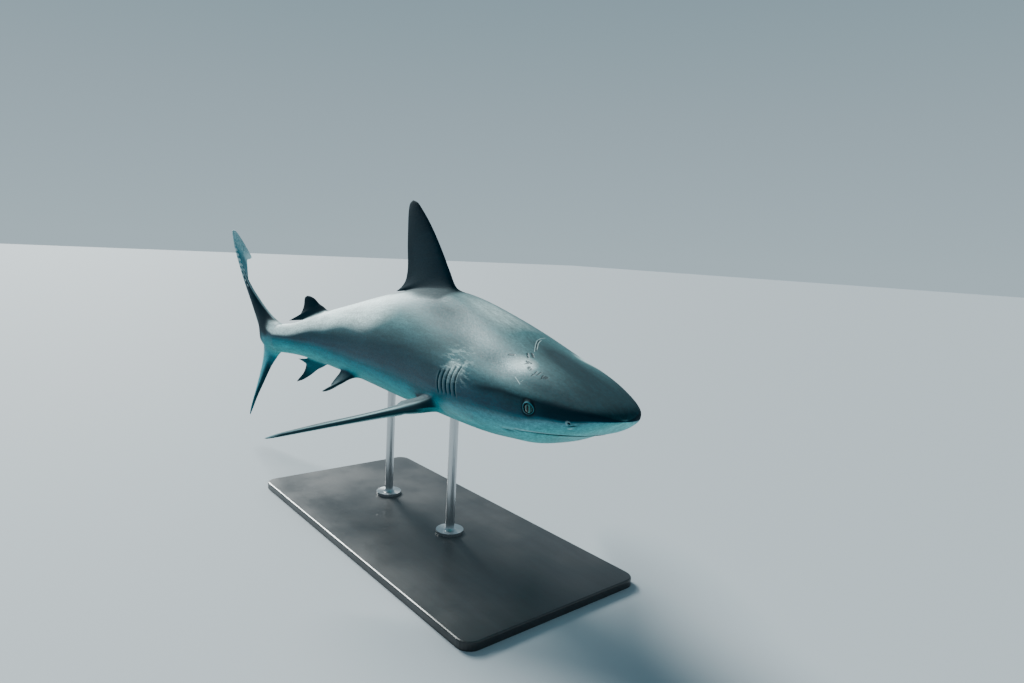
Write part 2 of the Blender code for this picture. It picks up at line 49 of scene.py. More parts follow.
body = {
    # the way the axis bends, by percent of length: heading, nose-up pitch, bank to the right, in degrees
    "pose": {0: (-16.2, .8, -.8), 12: (-12.9, .3, -.2), 25: (-8.1, .2, -.1), 40: (-.1, 3.0, -1.2),
             55: (7.3, 5.2, -2.9), 70: (11.6, 5.0, -3.8), 85: (-3.0, 1.7, -4.2),
             100: (-16.0, -1.7, -3.2)},
    "spineSteps": 400,
    # sections: behind snout, top, bottom, half width, height of the widest line
    "sections": [(0, 0, 0, 0, 0), (1, .82, -.72, 2.03, .05), (3, 1.44, -1.78, 3.21, .12),
                 (5, 1.96, -2.46, 3.91, .20), (7.2, 2.47, -3.32, 4.53, .25),
                 (9.5, 2.92, -4.24, 5.04, .20), (12, 3.38, -4.70, 5.50, 0),
                 (16, 4.33, -5.35, 6.08, -.40), (20, 5.25, -5.87, 6.35, -.70),
                 (25, 6.25, -6.29, 6.43, -.80), (32, 7.33, -6.60, 6.20, -.60),
                 (40, 7.12, -6.44, 5.73, -.40), (50, 5.84, -5.40, 4.60, -.20),
                 (58, 4.55, -4.26, 3.54, 0), (65, 3.31, -3.14, 2.54, .05),
                 (70, 2.26, -2.62, 1.86, 0), (74.5, 1.92, -2.52, 1.42, -.20)],
    "backFullness": 1.95, "bellyFullness": 2.15,      # superellipse powers
    "chin": (9.0, 8.5, .65),                          # place, spread and added fullness
    "columns": 160,                                   # grid points round the body
    # grid rows: their spacing at places along the body
    "spacing": [(0, .03), (.5, .07), (2.2, .08), (3.9, .08), (4.6, .13), (7.1, .13), (7.5, .045),
                (8.0, .045), (8.6, .10), (9.6, .15), (17.2, .17), (17.6, .092), (22.5, .092),
                (23.4, .24), (30, .32), (44, .36), (60, .52), (62, .36), (70, .36), (74.5, .38)],
    "tailRoot": 74.5,
    "edgeHalf": .04,                                  # half the thickness of a fin's rear edge
}

upperLobe = {
    "front": [(0, 74.5, 0, 1.92), (.10, 77.0, 0, 2.90), (.20, 79.5, .1, 4.10), (.30, 82.0, .4, 5.50),
              (.40, 84.5, 1.0, 7.30), (.50, 87.0, 1.6, 9.30), (.60, 89.5, 2.1, 11.50),
              (.70, 91.6, 2.5, 13.40), (.80, 93.2, 2.8, 15.00), (.95, 95.3, 2.9, 16.70),
              (1, 95.6, 2.7, 16.95)],
    "rear": [(0, 74.5, 0, -2.52), (.10, 78.3, .1, -2.15), (.20, 81.9, -.2, -1.20),
             (.30, 84.0, -.5, .80), (.40, 86.8, -.4, 3.10), (.50, 89.3, -.1, 5.60),
             (.60, 91.7, .1, 8.20), (.70, 93.5, .2, 10.60), (.75, 93.9, .3, 11.80),
             (.80, 95.0, -.6, 12.30), (.88, 95.5, .5, 14.30), (.95, 95.9, 1.5, 15.85),
             (1, 95.8, 2.3, 16.85)],
    "thick": [(0, 1.42), (.08, .98), (.16, .64), (.3, .45), (.5, .34), (.75, .24), (.9, .15),
              (1, .04)],
    "rounding": .3, "rows": 76, "rootRows": 26, "rootShare": .24,
}


def step(low, high, x):
    # smooth step from 0 at low to 1 at high
    t = np.clip((x - low) / (high - low), 0, 1)
    return t * t * (3 - 2 * t)


def fade(low, high, x):
    # the same turned round, from 1 at low to 0 at high
    return 1 - step(low, high, x)


def hump(x, width):
    # bell curve: 1 at 0, falling off over the width
    return np.exp(-(x / width)**2)


def humpAt(x, middleAndWidth):
    # the bell curve round a middle
    middle, width = middleAndWidth
    return hump(x - middle, width)


def unit(vectors):
    # the same directions, with length 1
    return vectors / np.linalg.norm(vectors, axis=-1, keepdims=True)


def hermite(knownX, knownY, slope, x):
    # cubic pieces through the known points, each with its given slope
    gap = np.diff(knownX)
    k = np.clip(np.searchsorted(knownX, x) - 1, 0, len(gap) - 1)
    t = (x - knownX[k]) / gap[k]
    return (knownY[k] * (1 + 2 * t) * (1 - t)**2 + knownY[k + 1] * t**2 * (3 - 2 * t)
            + gap[k] * t * (1 - t) * (slope[k] * (1 - t) - slope[k + 1] * t))


def smoothCurve(knownX, knownY, x):
    # natural cubic spline: its slopes leave no jump in bend between pieces, and no bend at either end
    inverse = 1 / np.diff(knownX)
    rise = 3 * np.diff(knownY) * inverse**2
    diagonal, right = (np.append(values, 0) + np.insert(values, 0, 0) for values in (inverse, rise))
    system = np.diag(2 * diagonal) + np.diag(inverse, 1) + np.diag(inverse, -1)
    return hermite(np.asarray(knownX, float), np.asarray(knownY, float), np.linalg.solve(system, right), x)


def curveRows(rows, share):
    # steady curves through the rows' columns, by their first one: monotone cubics with harmonic-mean
    # slopes, which never swing past their points
    known, *columnsAfter = np.array(rows, float).T
    gap = np.diff(known)
    first, second = 2 * gap[1:] + gap[:-1], gap[1:] + 2 * gap[:-1]
    curves = []
    for column in columnsAfter:
        rise = np.diff(column) / gap
        sameWay = rise[:-1] * rise[1:] > 0
        before, after = (np.where(sameWay, slopes, 1.0) for slopes in (rise[:-1], rise[1:]))
        mean = np.where(sameWay, (first + second) / (first / before + second / after), 0.0)
        curves.append(hermite(known, column, np.concatenate([rise[:1], mean, rise[-1:]]), share))
    return np.stack(curves, axis=1)


def bendAxis():
    # the axis is the running sum of its ahead direction; right and up turn about it by the bank
    along = np.linspace(0, 100, body["spineSteps"] + 1)
    stations = sorted(body["pose"])
    heading, pitch, bank = (np.radians(smoothCurve(stations, degrees, along))
                            for degrees in zip(*(body["pose"][s] for s in stations)))
    ahead = np.stack([np.cos(heading) * np.cos(pitch), np.sin(heading) * np.cos(pitch),
                      np.sin(pitch)], axis=1)
    levelRight = unit(np.cross(ahead, (0.0, 0.0, 1.0)))
    levelUp = np.cross(levelRight, ahead)
    cosine, sine = np.cos(bank)[:, None], np.sin(bank)[:, None]
    steps = (ahead[1:] + ahead[:-1]) / 2 / body["spineSteps"]
    position = np.vstack([np.zeros(3), -np.cumsum(steps, axis=0)])
    return along, position, levelRight * cosine - levelUp * sine, levelUp * cosine + levelRight * sine


axis = bendAxis()


def placeInLengths(points):
    # axis point + right offset + height, all in lengths of the shark
    points = np.asarray(points, float)
    along, *tables = axis
    centre, side, above = (
        np.stack([np.interp(points[..., 0], along, column) for column in table.T], axis=-1)
        for table in tables)
    return centre + side * points[..., 1:2] / 100 + above * points[..., 2:3] / 100


def sectionSizes(s):
    # top, bottom, half width, widest height and belly power; splines over the distance's root
    along, *sizes = np.array(body["sections"], float).T
    root = np.sqrt(np.maximum(s, 0))
    chin, spread, added = body["chin"]
    belly = body["bellyFullness"] + added * hump(s - chin, spread)
    return *(smoothCurve(np.sqrt(along), size, root) for size in sizes), belly


def bodyPlaces(s, angle):
    # superellipse round the axis: angle 0 is the back, and it grows to the shark's right
    top, bottom, half, widest, belly = sectionSizes(s)
    sine, cosine = np.sin(angle), np.cos(angle)
    power = np.where(cosine > 0, body["backFullness"], belly)
    reach = np.where(cosine > 0, top - widest, widest - bottom)
    right = half * np.sign(sine) * np.abs(sine)**(2 / power)
    height = widest + reach * np.sign(cosine) * np.abs(cosine)**(2 / power)
    return np.stack([s + 0 * angle, right, height], axis=-1)


def flankRight(s, height):
    # half width of the section at a height, from the superellipse
    top, bottom, half, widest, belly = sectionSizes(s)
    above = height > widest
    power = np.where(above, body["backFullness"], belly)
    reach = np.where(above, top - widest, widest - bottom)
    share = np.clip(np.abs(height - widest) / np.maximum(reach, 1e-6), 0, 1)
    return half * (1 - share**power)**(1 / power)


def flankPlaces(s, height, side):
    # places on the skin at given heights, on the right (side 1) or the left (-1)
    return np.stack([s, side * flankRight(s, height), height], axis=-1)


# scale and place of the whole shark, from the frame: its length in X, and the point between its eyes
eyePlace, eyeDepth = np.array((7.09, -.45)), .0123
sides = ((1, "right"), (-1, "left"))
eyeBoxes = {side: np.array(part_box(f"eye_{word}")) for side, word in sides}
eyeCentres = {side: box.mean(axis=0) for side, box in eyeBoxes.items()}
eyeRadius = float(max((box[1] - box[0]).max() for box in eyeBoxes.values())) / 2


def outwardAt(s, height, side, apart=.05):
    # a place on the flank and the skin's outward direction: cross product of its two slopes
    here = placeInLengths(flankPlaces(s, height, side))
    back = placeInLengths(flankPlaces(s + apart, height, side)) - here
    up = placeInLengths(flankPlaces(s, height + apart, side)) - here
    return here, unit(np.cross(up, back) * side)


snoutX = placeInLengths(bodyPlaces(np.linspace(0, 1, 30)[:, None], np.linspace(0, 6.28, 60)))[..., 0].max()
tailX = placeInLengths(curveRows(upperLobe["rear"], np.linspace(0, 1, 200)))[:, 0].min()
tailX -= body["edgeHalf"] / 100
bodyLength = (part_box("head")[1].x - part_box("tail_upper_lobe")[0].x) / (snoutX - tailX)
eyeMiddles = [here * bodyLength - out * eyeDepth for here, out in
              (outwardAt(*eyePlace, side) for side in eyeBoxes)]
shift = sum(eyeCentres.values()) / 2 - sum(eyeMiddles) / 2
millimetre = .1 / bodyLength            # in percent of the shark's length
print("body length", round(bodyLength, 4), "shift", shift.round(4))


def place(points):
    # from places in percent to the frame's metres
    return placeInLengths(points) * bodyLength + shift


# the skin is gathered as points, four-sided faces, values and unwrapped places; flow is each point's
# place on the straight shark in metres, for the patterns, and loose says how far it may be evened out
# lift paints light on the skin (above 0) and shade (below 0); hollow paints shade in hollows and creases;
# dusk is the fins' own dusk together with painted shade
valueNames = ["coat", "duskAndShade", "pale", "hollow", "finness", "rough", "lift", "dashed", "streaked"]
skin = {"count": 0, "points": [], "values": [], "flow": [], "loose": [], "faces": [], "unwrap": [],
        "triangles": [], "triangleUnwrap": []}


def addPoints(points, values, places, loose=0.0):
    # keeps the points with their values, and gives their numbers back in the same grid
    shape = points.shape[:-1]
    count = int(np.prod(shape))
    numbers = np.arange(skin["count"], skin["count"] + count).reshape(shape)
    table = np.zeros((*shape, len(valueNames)))
    for name, value in values.items():
        table[..., valueNames.index(name)] = value
    skin["points"].append(points.reshape(-1, 3))
    skin["values"].append(table.reshape(-1, len(valueNames)))
    skin["flow"].append(np.broadcast_to(places * bodyLength / 100, (*shape, 3)).reshape(-1, 3))
    skin["loose"].append(np.broadcast_to(loose, shape).reshape(-1))
    skin["count"] += count
    return numbers


def boxCorners(left, low, right, high):
    # the corners of unwrapped boxes, in the order of a face's points
    return np.stack([np.stack(corner, axis=-1) for corner in
                     ((left, low), (right, low), (right, high), (left, high))], axis=-2)


def addRings(numbers, corner, size):
    # four-sided faces between each ring of point numbers and the next; unwrapped into a box
    rows, count = numbers.shape
    following = np.roll(numbers, -1, axis=1)
    faces = np.stack([numbers[:-1], following[:-1], following[1:], numbers[1:]], axis=-1)
    across, up = np.arange(count + 1) / count, np.arange(rows) / (rows - 1)
    unwrap = boxCorners(*np.meshgrid(across[:-1], up[:-1]), *np.meshgrid(across[1:], up[1:]))
    skin["faces"].append(faces.reshape(-1, 4))
    skin["unwrap"].append((np.array(corner) + unwrap * np.array(size)).reshape(-1, 4, 2))


def addPole(ring, point, corner, size):
    # closes a ring with triangles to one point
    faces = np.stack([ring, np.roll(ring, -1), np.full_like(ring, point)], axis=-1)
    u = np.arange(len(ring)) / len(ring)
    unwrap = np.stack([np.stack([u + more / len(ring), 0 * u + up], axis=-1)
                       for more, up in ((0, 0), (1, 0), (.5, 1))], axis=1)
    skin["triangles"].append(faces)
    skin["triangleUnwrap"].append(np.array(corner) + unwrap * np.array(size))


# the head's features, and where the paired fins grow
mouth = {
    "front": (4.25, -2.19), "corner": (9.75, -2.88),     # its flat cut passes through these two
    "row": 7.7, "start": (4.2, 2.2), "fade": 18.0,       # grid rows that are bent along its line
    "sideTurn": 109, "startTurn": 140,                   # turns from the back, in degrees
    "chinTurns": (136, 156), "lowerTurn": 1.8,           # the last one in radians
    # heights in metres, and what follows the line: place over it and width, in percent
    "creaseDepth": .0030, "jawInset": .0020, "lipSwell": .0005, "chinSwell": .0012,
    "crease": (-.04, .07), "lip": (.30, .24), "lipHighlight": (.15, .08), "jawFade": .50,
    "furrow": ((9.9, -3.05), (11.2, -3.24)), "furrowDepth": .0022,
}
gills = {"count": 5, "first": 18.15, "step": .95, "height": -.24, "drop": -.18, "half": 1.45,
         "bow": .28, "slant": -.22, "depth": .0050, "flap": .0018, "lowestTurn": 2.3,
         "fadeIn": (16.5, 18.0), "fadeOut": (22.3, 24.1), "turns": ((48, 72), (118, 140)),
         "slit": (.14, .44), "dark": (.22, .44), "behind": (.60, .12)}     # behind the flap's edge
# along the back's middle: a low ridge between the dorsal fins and a notch ahead of the tail; and
# scuffed skin above the slits
ridge = {"height": .0022, "from": (44.5, 47), "until": (60.5, 62), "width": .32}
notch = {"depth": .0042, "at": (74.1, .40), "width": .8}
scuffed = {"at": (19.2, 2.2), "height": (1.05, 1.35), "aboveTurn": 1.6}
finRoots = {     # (front, rear, turn from the back at front and rear, half width of hole in columns)
    "pectoral": (24.4, 30.5, 120.6, 130.7, 6),
    "pelvic": (50.0, 54.2, 140.1, 144.0, 5),
}
rootMargins = (.55, .25)         # how far a hole reaches past its fin's root, ahead and behind


def gridStations():
    # rows whose spacing follows the table: the inverse of the running sum of 1 / spacing
    s = np.linspace(0, body["tailRoot"], 6000)
    density = 1 / np.interp(s, *zip(*body["spacing"]))
    total = np.concatenate([[0], np.cumsum((density[1:] + density[:-1]) / 2 * np.diff(s))])
    rows = int(round(total[-1]))
    stations = np.interp(np.linspace(0, total[-1], rows + 1), total, s)[1:]
    # one row lies on the mouth and on each slit
    for target in [mouth["row"], *(gills["first"] + k * gills["step"] for k in range(gills["count"]))]:
        nearest = stations[np.argmin(np.abs(stations - target))]
        stations = stations + (target - nearest) * hump(stations - target, .30)
    return stations


def overMouth(s, height):
    # height over the mouth's flat cut
    return height - mouth["front"][1] - mouthSlope * (s - mouth["front"][0])


def mouthLine(angle):
    # where the flat cut of the mouth meets the skin, for each angle below the corners
    s = np.linspace(3, 14, 400)
    over = overMouth(s[:, None], bodyPlaces(s[:, None], angle)[..., 2])
    lineS = np.where(over.min(axis=0) < 0, s[np.argmax(over < 0, axis=0)], 99.0)
    cornerS = mouth["corner"][0]
    cornerAngle = angle[np.argmax(lineS <= cornerS)]
    lineS = np.where(angle >= cornerAngle, lineS, cornerS)
    return mouth["row"] + (lineS - mouth["row"]) * step(math.radians(mouth["sideTurn"]), cornerAngle, angle)


def foldAngle(angle):
    # the turn down from the back, the same on both sides
    return np.minimum(angle, 2 * math.pi - angle)


def slantColumns(s, angle):
    # columns slant with the paired fins' roots: each root's slope times the distance from its middle
    side = np.where(angle <= math.pi, 1.0, -1.0)
    fold = foldAngle(angle)
    for front, rear, *angles, _ in finRoots.values():
        angleFront, angleRear = np.radians(angles)
        fromMiddle = s - (front + rear) / 2
        lean = (angleRear - angleFront) / (rear - front) * fromMiddle
        lean *= hump(fromMiddle, (rear - front) * 1.1) * hump(fold - (angleFront + angleRear) / 2, .42)
        angle = angle + lean * side
    return angle


def followMouth(s, fold):
    # rows ahead of the mouth's line are moved back to it in even shares, and those behind it catch up
    lineAngle = np.linspace(0, math.pi, 361)
    rowMouth = np.interp(fold, lineAngle, mouthLine(lineAngle))
    high, low = mouth["start"]
    rowStart = high + (low - high) * step(math.radians(mouth["startTurn"]), math.pi, fold)
    row, end = mouth["row"], mouth["fade"]
    ahead = rowStart + (s - rowStart) * (rowMouth - rowStart) / (row - rowStart)
    behind = rowMouth + (s - row) * (end - rowMouth) / (end - row)
    return np.where((s < rowStart) | (s >= end), s, np.where(s < row, ahead, behind))


def followGills(s, base, angle, fold):
    # rows near the gills take the slits' bow and slant, by the height from each slit's middle
    height = bodyPlaces(s, angle)[..., 2]
    order = np.clip((base - gills["first"]) / gills["step"], -1, gills["count"])
    along = (height - gills["height"] - gills["drop"] * order) / gills["half"]
    reach = np.clip(along, -1.6, 1.6)
    bowed = gills["bow"] * (1 - reach**2) * hump(reach, 1.6) + gills["slant"] * reach
    high, low = np.radians(gills["turns"])
    return s + bowed * (step(*gills["fadeIn"], base) * fade(*gills["fadeOut"], base)
                        * step(*high, fold) * fade(*low, fold))


columns = body["columns"]
columnAngle = np.arange(columns) / columns * 2 * math.pi
mouthSlope = (mouth["corner"][1] - mouth["front"][1]) / (mouth["corner"][0] - mouth["front"][0])
baseS, rowAngle = np.meshgrid(gridStations(), columnAngle, indexing="ij")
rowAngle = slantColumns(baseS, rowAngle)
fold = foldAngle(rowAngle)
rowS = followGills(followMouth(baseS, fold), baseS, rowAngle, fold)
places = bodyPlaces(rowS, rowAngle)
print("grid", places.shape[:2], "rows x columns")


def gridNormals(points):
    # cross product of the two slopes of a grid that closes round its columns
    back = np.gradient(points, axis=0)
    roundwise = np.roll(points, -1, axis=1) - np.roll(points, 1, axis=1)
    normal = np.cross(back, roundwise)
    return normal / np.maximum(np.linalg.norm(normal, axis=-1, keepdims=True), 1e-12)


def mouthRelief(s, height):
    # toLine is the distance to the mouth's line along the skin, from the height over its flat cut;
    # a crease lies there, the jaw is set in behind it, and the lip ahead of it swells a little
    steepness = gridNormals(places) @ np.array([-mouthSlope, 0.0, 1.0])
    toLine = overMouth(s, height) / np.sqrt(np.maximum(1 + mouthSlope**2 - steepness**2, .03))
    cornerS = mouth["corner"][0]
    under = fade(cornerS - .5, cornerS + .15, s) * (fold > mouth["lowerTurn"])
    below = np.minimum(toLine, 0)
    jaw = under * (toLine < 0) * np.exp(below / mouth["jawFade"])
    # at the chin the crease is shallow, and the jaw stands out instead of in
    chin = step(*np.radians(mouth["chinTurns"]), fold)
    relief = -under * mouth["creaseDepth"] * (1 - .8 * chin) * humpAt(toLine, mouth["crease"])
    relief -= (mouth["jawInset"] * (1 - chin) - mouth["chinSwell"] * chin) * jaw
    relief += under * mouth["lipSwell"] * (1 - chin) * humpAt(toLine, mouth["lip"])
    # the crease's painted shade widens towards the front, where the jaw lies in painted shade under the
    # lip
    reach = .12 + .22 * fade(5.0, 9.0, s) - .10 * chin
    hollow = under * np.where(toLine < 0, np.exp(-(below / reach)**2), hump(toLine, .04))
    hollow += .30 * jaw * fade(6.0, 9.0, s) * (1 - chin)
    # a painted highlight along the lip's edge, above the crease
    pale = .65 * under * humpAt(toLine, mouth["lipHighlight"]) * (1 - .7 * chin)
    # labial furrow: a short groove behind the corner, painted dark as shade, with a pale fold over it
    start, end = np.array(mouth["furrow"])
    ahead, offset = end - start, np.stack([s, height], axis=-1) - start
    share = np.clip(offset @ ahead / (ahead @ ahead), 0, 1)
    away = np.linalg.norm(offset - share[..., None] * ahead, axis=-1)
    relief -= mouth["furrowDepth"] * hump(away, .10)
    hollow += .8 * hump(away, .085)
    pale += .3 * hump(away - .22, .09) * (height > start[1] - .1 * (s - start[0]))
    return relief, hollow, pale


def gillRelief(height):
    # each flap swells towards its rear edge, then drops into the slit
    relief, hollow, pale = (np.zeros_like(height) for _ in range(3))
    for k in range(gills["count"]):
        here = baseS - gills["first"] - k * gills["step"]
        ahead, behind = here < -.01, here > -.01
        length = (height - gills["height"] - k * gills["drop"]) / (gills["half"] * (1 - .06 * k))
        gate = np.clip(1 - length**2, 0, 1)**.5 * (fold < gills["lowestTurn"])
        flap, edge = (ahead * np.exp(np.minimum(here, 0) / reach) for reach in (.30, .12))
        relief += gate * (gills["flap"] * flap - gills["depth"] * behind * fade(*gills["slit"], here))
        # the slit is painted dark as shade
        hollow += gate * behind * fade(*gills["dark"], here)
        pale += gate * (.50 * edge + .10 * humpAt(here, gills["behind"]))
    return relief, hollow, pale


# heights over the plain body in metres, and shading values
s, right, height = np.moveaxis(places, -1, 0)
relief, hollow, pale = (a + b for a, b in zip(mouthRelief(s, height), gillRelief(height)))
onBack = ridge["height"] * step(*ridge["from"], s) * fade(*ridge["until"], s) * hump(right, ridge["width"])
onBack = onBack - notch["depth"] * humpAt(s, notch["at"]) * hump(right, notch["width"])
relief += onBack * (height > 0)
rough = humpAt(s, scuffed["at"]) * humpAt(height, scuffed["height"]) * (fold < scuffed["aboveTurn"])

# the coat: where its grey ends, and painted highlights and painted shade on the grey
coatEdge = [(0, -.1), (1, -.25), (2.4, -.58), (3.8, -.84), (5.3, -.95), (8.2, -1.38), (11, -1.5),
            (14, -1.7), (17.6, -1.9), (24, -2.3), (34, -2.2), (41, -2.1), (49, -1.75), (56, -1.15),
            (65, -.45), (74.5, -.1)]
paintedLightAreas = [
    # above 0 painted highlight, below 0 painted shade: amount, place and spread along the body, place
    # and spread down from the back's middle, in degrees
    (-.95, 2.0, 7.1, 40, 200),        # snout
    (-.95, 10.3, 4.8, 0, 16),         # top of the head
    (1.05, 10.8, 1.75, 38, 12),       # bright patch on the head
    (-.25, 7.6, 3.0, 60, 13),         # under the patch
    (-.60, 28.0, 6.5, 34, 16),        # shoulder
    (-.45, 20.5, 4.5, 54, 13),        # neck
    (-.34, 14.6, 2.2, 50, 13),        # cheek behind the patch
    (.50, 23.0, 6.0, 4, 15),          # ridge ahead of the first dorsal fin
    # painted highlight over the scuffed skin above the gills
    (.50, 19.4, 1.7, 74, 9),          # scuffed skin above the gills
    (-.20, 25.5, 5.0, 68, 12),        # flank over the pectoral fin
]
# painted shade and light on the coat: amounts, shares of the coat, ranges along the body, turns down from
# the back
# snout band: the snout flank's own dark deepened by painted shade
snoutDuskAndShade = {"amount": .95, "ends": (4.5, 9.0), "low": .19, "lower": .07, "lowerFrom": (3, 8),
             "edge": .07, "until": (.455, .50)}
# a thin line of painted shade behind the eye, where the lit top of the head turns down into the flank
eyeShadeLine = {"amount": .92, "at": .305, "sink": .012, "sinkFrom": 10.5, "width": .026, "ends": (12.5, 16.5)}
# painted shade round the first dorsal fin's base
dorsalBaseShade = {"amount": .92, "turn": 31, "narrower": 14, "narrowerFrom": (34, 42), "edge": (-8, 6),
          "from": (29.4, 31.4), "until": (43, 46)}
# a painted highlight on the back behind the first dorsal fin, with painted shade on the flank under it
rearPaintedLight = {"amount": .92, "from": (35, 48), "down": (53, 82), "lower": 19, "lowerFrom": (60, 71),
            "wave": 2.5, "flank": -.24, "flankFrom": (20, 27)}
# limits of the painted light and shade, and the coat shares over which they fade out
paintedLightOnGrey = {"limits": (-.92, 1), "until": (.34, .46)}
# on the belly: painted light under the head and painted shade further back
belly = {"front": .10, "frontUntil": (10, 21), "rear": -.22, "rearFrom": (20, 28), "from": (.50, .56)}


def skinShading(places):
    # coat: 0 on the back, .5 where the grey ends, 1 under the belly, by height between these three;
    # dusk: a dark band on the snout's flank, its own dark deepened by painted shade, a thin line of
    # painted shade leading back from it, and painted shade round the first dorsal fin's base; lift:
    # painted light towards the light colour (to 1) and painted shade towards the shade colour (to -1),
    # as a sum of humps in the distance along the body and in the turn down from the back's middle
    s, height = places[..., 0], places[..., 2]
    top, bottom, _, widest, _ = sectionSizes(s)
    edge = smoothCurve(*zip(*coatEdge), s)
    coat = np.where(height > edge, .5 * (top - height) / np.maximum(top - edge, .05),
                    .5 + .5 * (edge - height) / np.maximum(edge - bottom, .05))
    turn = np.degrees(np.arccos(np.clip((height - widest) / np.maximum(top - widest, .05), 0, 1)))
    low = snoutDuskAndShade["low"] + snoutDuskAndShade["lower"] * step(*snoutDuskAndShade["lowerFrom"], s)
    band = snoutDuskAndShade["amount"] * fade(*snoutDuskAndShade["ends"], s)
    band = band * step(low, low + snoutDuskAndShade["edge"], coat) * fade(*snoutDuskAndShade["until"], coat)
    line = eyeShadeLine["at"] + eyeShadeLine["sink"] * np.maximum(s - eyeShadeLine["sinkFrom"], 0)
    line = eyeShadeLine["amount"] * hump(coat - line, eyeShadeLine["width"]) * fade(*eyeShadeLine["ends"], s)
    around = dorsalBaseShade["turn"] - dorsalBaseShade["narrower"] * step(*dorsalBaseShade["narrowerFrom"], s)
    base = fade(*(around + more for more in dorsalBaseShade["edge"]), turn)
    base = dorsalBaseShade["amount"] * base * step(*dorsalBaseShade["from"], s) * fade(*dorsalBaseShade["until"], s)
    back = sum(amount * hump(s - along, spread) * hump(turn - down, wide)
               for amount, along, spread, down, wide in paintedLightAreas)
    # behind the dorsal fin a painted highlight covers the back as far down as a wavy edge, lower towards
    # the tail, with painted shade on the flank under it
    lower = rearPaintedLight["lower"] * step(*rearPaintedLight["lowerFrom"], s) + rearPaintedLight["wave"] * np.sin(s * .45)
    under = step(*rearPaintedLight["down"], turn - lower)
    rear = step(*rearPaintedLight["from"], s) * (1 - under)
    back = back * (1 - rear) + rearPaintedLight["amount"] * rear
    back += rearPaintedLight["flank"] * under * step(*rearPaintedLight["flankFrom"], s)
    # painted light on the belly under the head, painted shade further back
    bellyLightAndShade = belly["front"] * fade(*belly["frontUntil"], s) + belly["rear"] * step(*belly["rearFrom"], s)
    lift = np.clip(back, *paintedLightOnGrey["limits"]) * fade(*paintedLightOnGrey["until"], coat)
    lift = lift + bellyLightAndShade * step(*belly["from"], coat)
    return {"coat": coat, "duskAndShade": np.maximum(np.maximum(band, line), base), "lift": lift}


normals = gridNormals(place(places))
points = place(places) + normals * relief[..., None]
bodyValues = {**skinShading(places), "pale": pale, "hollow": hollow, "rough": rough}
bodyNumbers = addPoints(points, bodyValues, places)


# fins, the tail's upper lobe first: it carries the body's own columns on to its tip
def foil(share, rounding):
    # half thickness across a fin: a wing section, or an ellipse where it is all rounding
    wing = (2.969 * np.sqrt(share) - 1.26 * share - 3.516 * share**2 + 2.843 * share**3
            - 1.036 * share**4)
    ellipse = 2 * np.sqrt(np.maximum(share * (1 - share), 0))
    return wing * (1 - rounding) + ellipse * rounding


def finRings(lead, trail, half, across, sign, towards, rounding=0.0, moveSpine=None):
    # rings round a fin: front edge + chord * across, off to both faces by the half thickness
    chord = trail - lead
    face = unit(np.cross(chord, np.gradient((lead + trail) / 2, axis=0)))
    face *= np.sign(face[len(face) // 8] @ np.array(towards, float))
    spine = lead[:, None] + chord[:, None] * across[None, :, None]
    if moveSpine is not None:
        spine = moveSpine(spine)
    rounding = np.broadcast_to(np.asarray(rounding, float), len(lead))[:, None]
    bulge = half[:, None] * foil(across, rounding)
    bulge = bulge + body["edgeHalf"] * np.minimum(across / .03, 1) * (1 - rounding)
    rings = spine + face[:, None] * (bulge * sign)[..., None]
    rings[-1] = spine[-1]              # both faces meet at the tip
    return rings


def closeTip(numbers):
    # the last ring's two faces share their points, so the tip is closed
    last = numbers[-1].copy()
    middle = len(last) // 2
    last[middle + 1:] = last[1:middle][::-1]
    numbers[-1] = last
    return numbers


def lobeShading(share, across):
    # from the body's own coat and lift (its painted light and shade) to the lobe's; dark from the stalk
    # to the upper half, except low on the root and along the rear edge
    mix = step(0, .10 + .16 * step(.40, .70, across), share)
    upperHalf, end = step(.40, .56, share), step(.68, .80, share)
    # the stalk's painted highlight runs on over the root
    fromRoot = share - .075 * step(-.10, .15, across)     # the stalk's light back runs on over the root
    dark = step(-.025, .05, fromRoot) * fade(.30, .56, share)
    dark = dark * (1 - step(.50, .75, across) * fade(.10, .26, share))
    frontDark = fade(.03, .10, across) * step(.30, .40, share) * fade(.46, .66, share)
    # thin pale rims, a pale line near the rear edge, pale dashes on the front of the upper half
    rim = hump(across, .012) * step(.04, .10, share)
    rearLine = hump(across - .80, .08) * step(.26, .38, share) * fade(.48, .58, share)
    free = step(.50, .90, across) * hump(share - .785, .055) + .5 * step(.84, 1, share)
    dashes = hump(across - .016 - .05 * fade(.45, .60, share), .016)
    return {"coat": bodyValues["coat"][-1] * (1 - mix) + (.43 + .14 * upperHalf + .08 * end) * mix,
            "duskAndShade": np.maximum(.93 * dark * (1 - .85 * step(.80, .97, across)), .80 * frontDark),
            "finness": step(0, .2, share), "pale": np.clip(.55 * rim + 1.1 * rearLine + 1.1 * free, 0, 1),
            "lift": bodyValues["lift"][-1] * fade(.01, .07, fromRoot) + .26 * end,
            "dashed": dashes * step(.41, .45, share) * fade(.72, .78, share),
            "streaked": .15 * upperHalf + .85 * end}


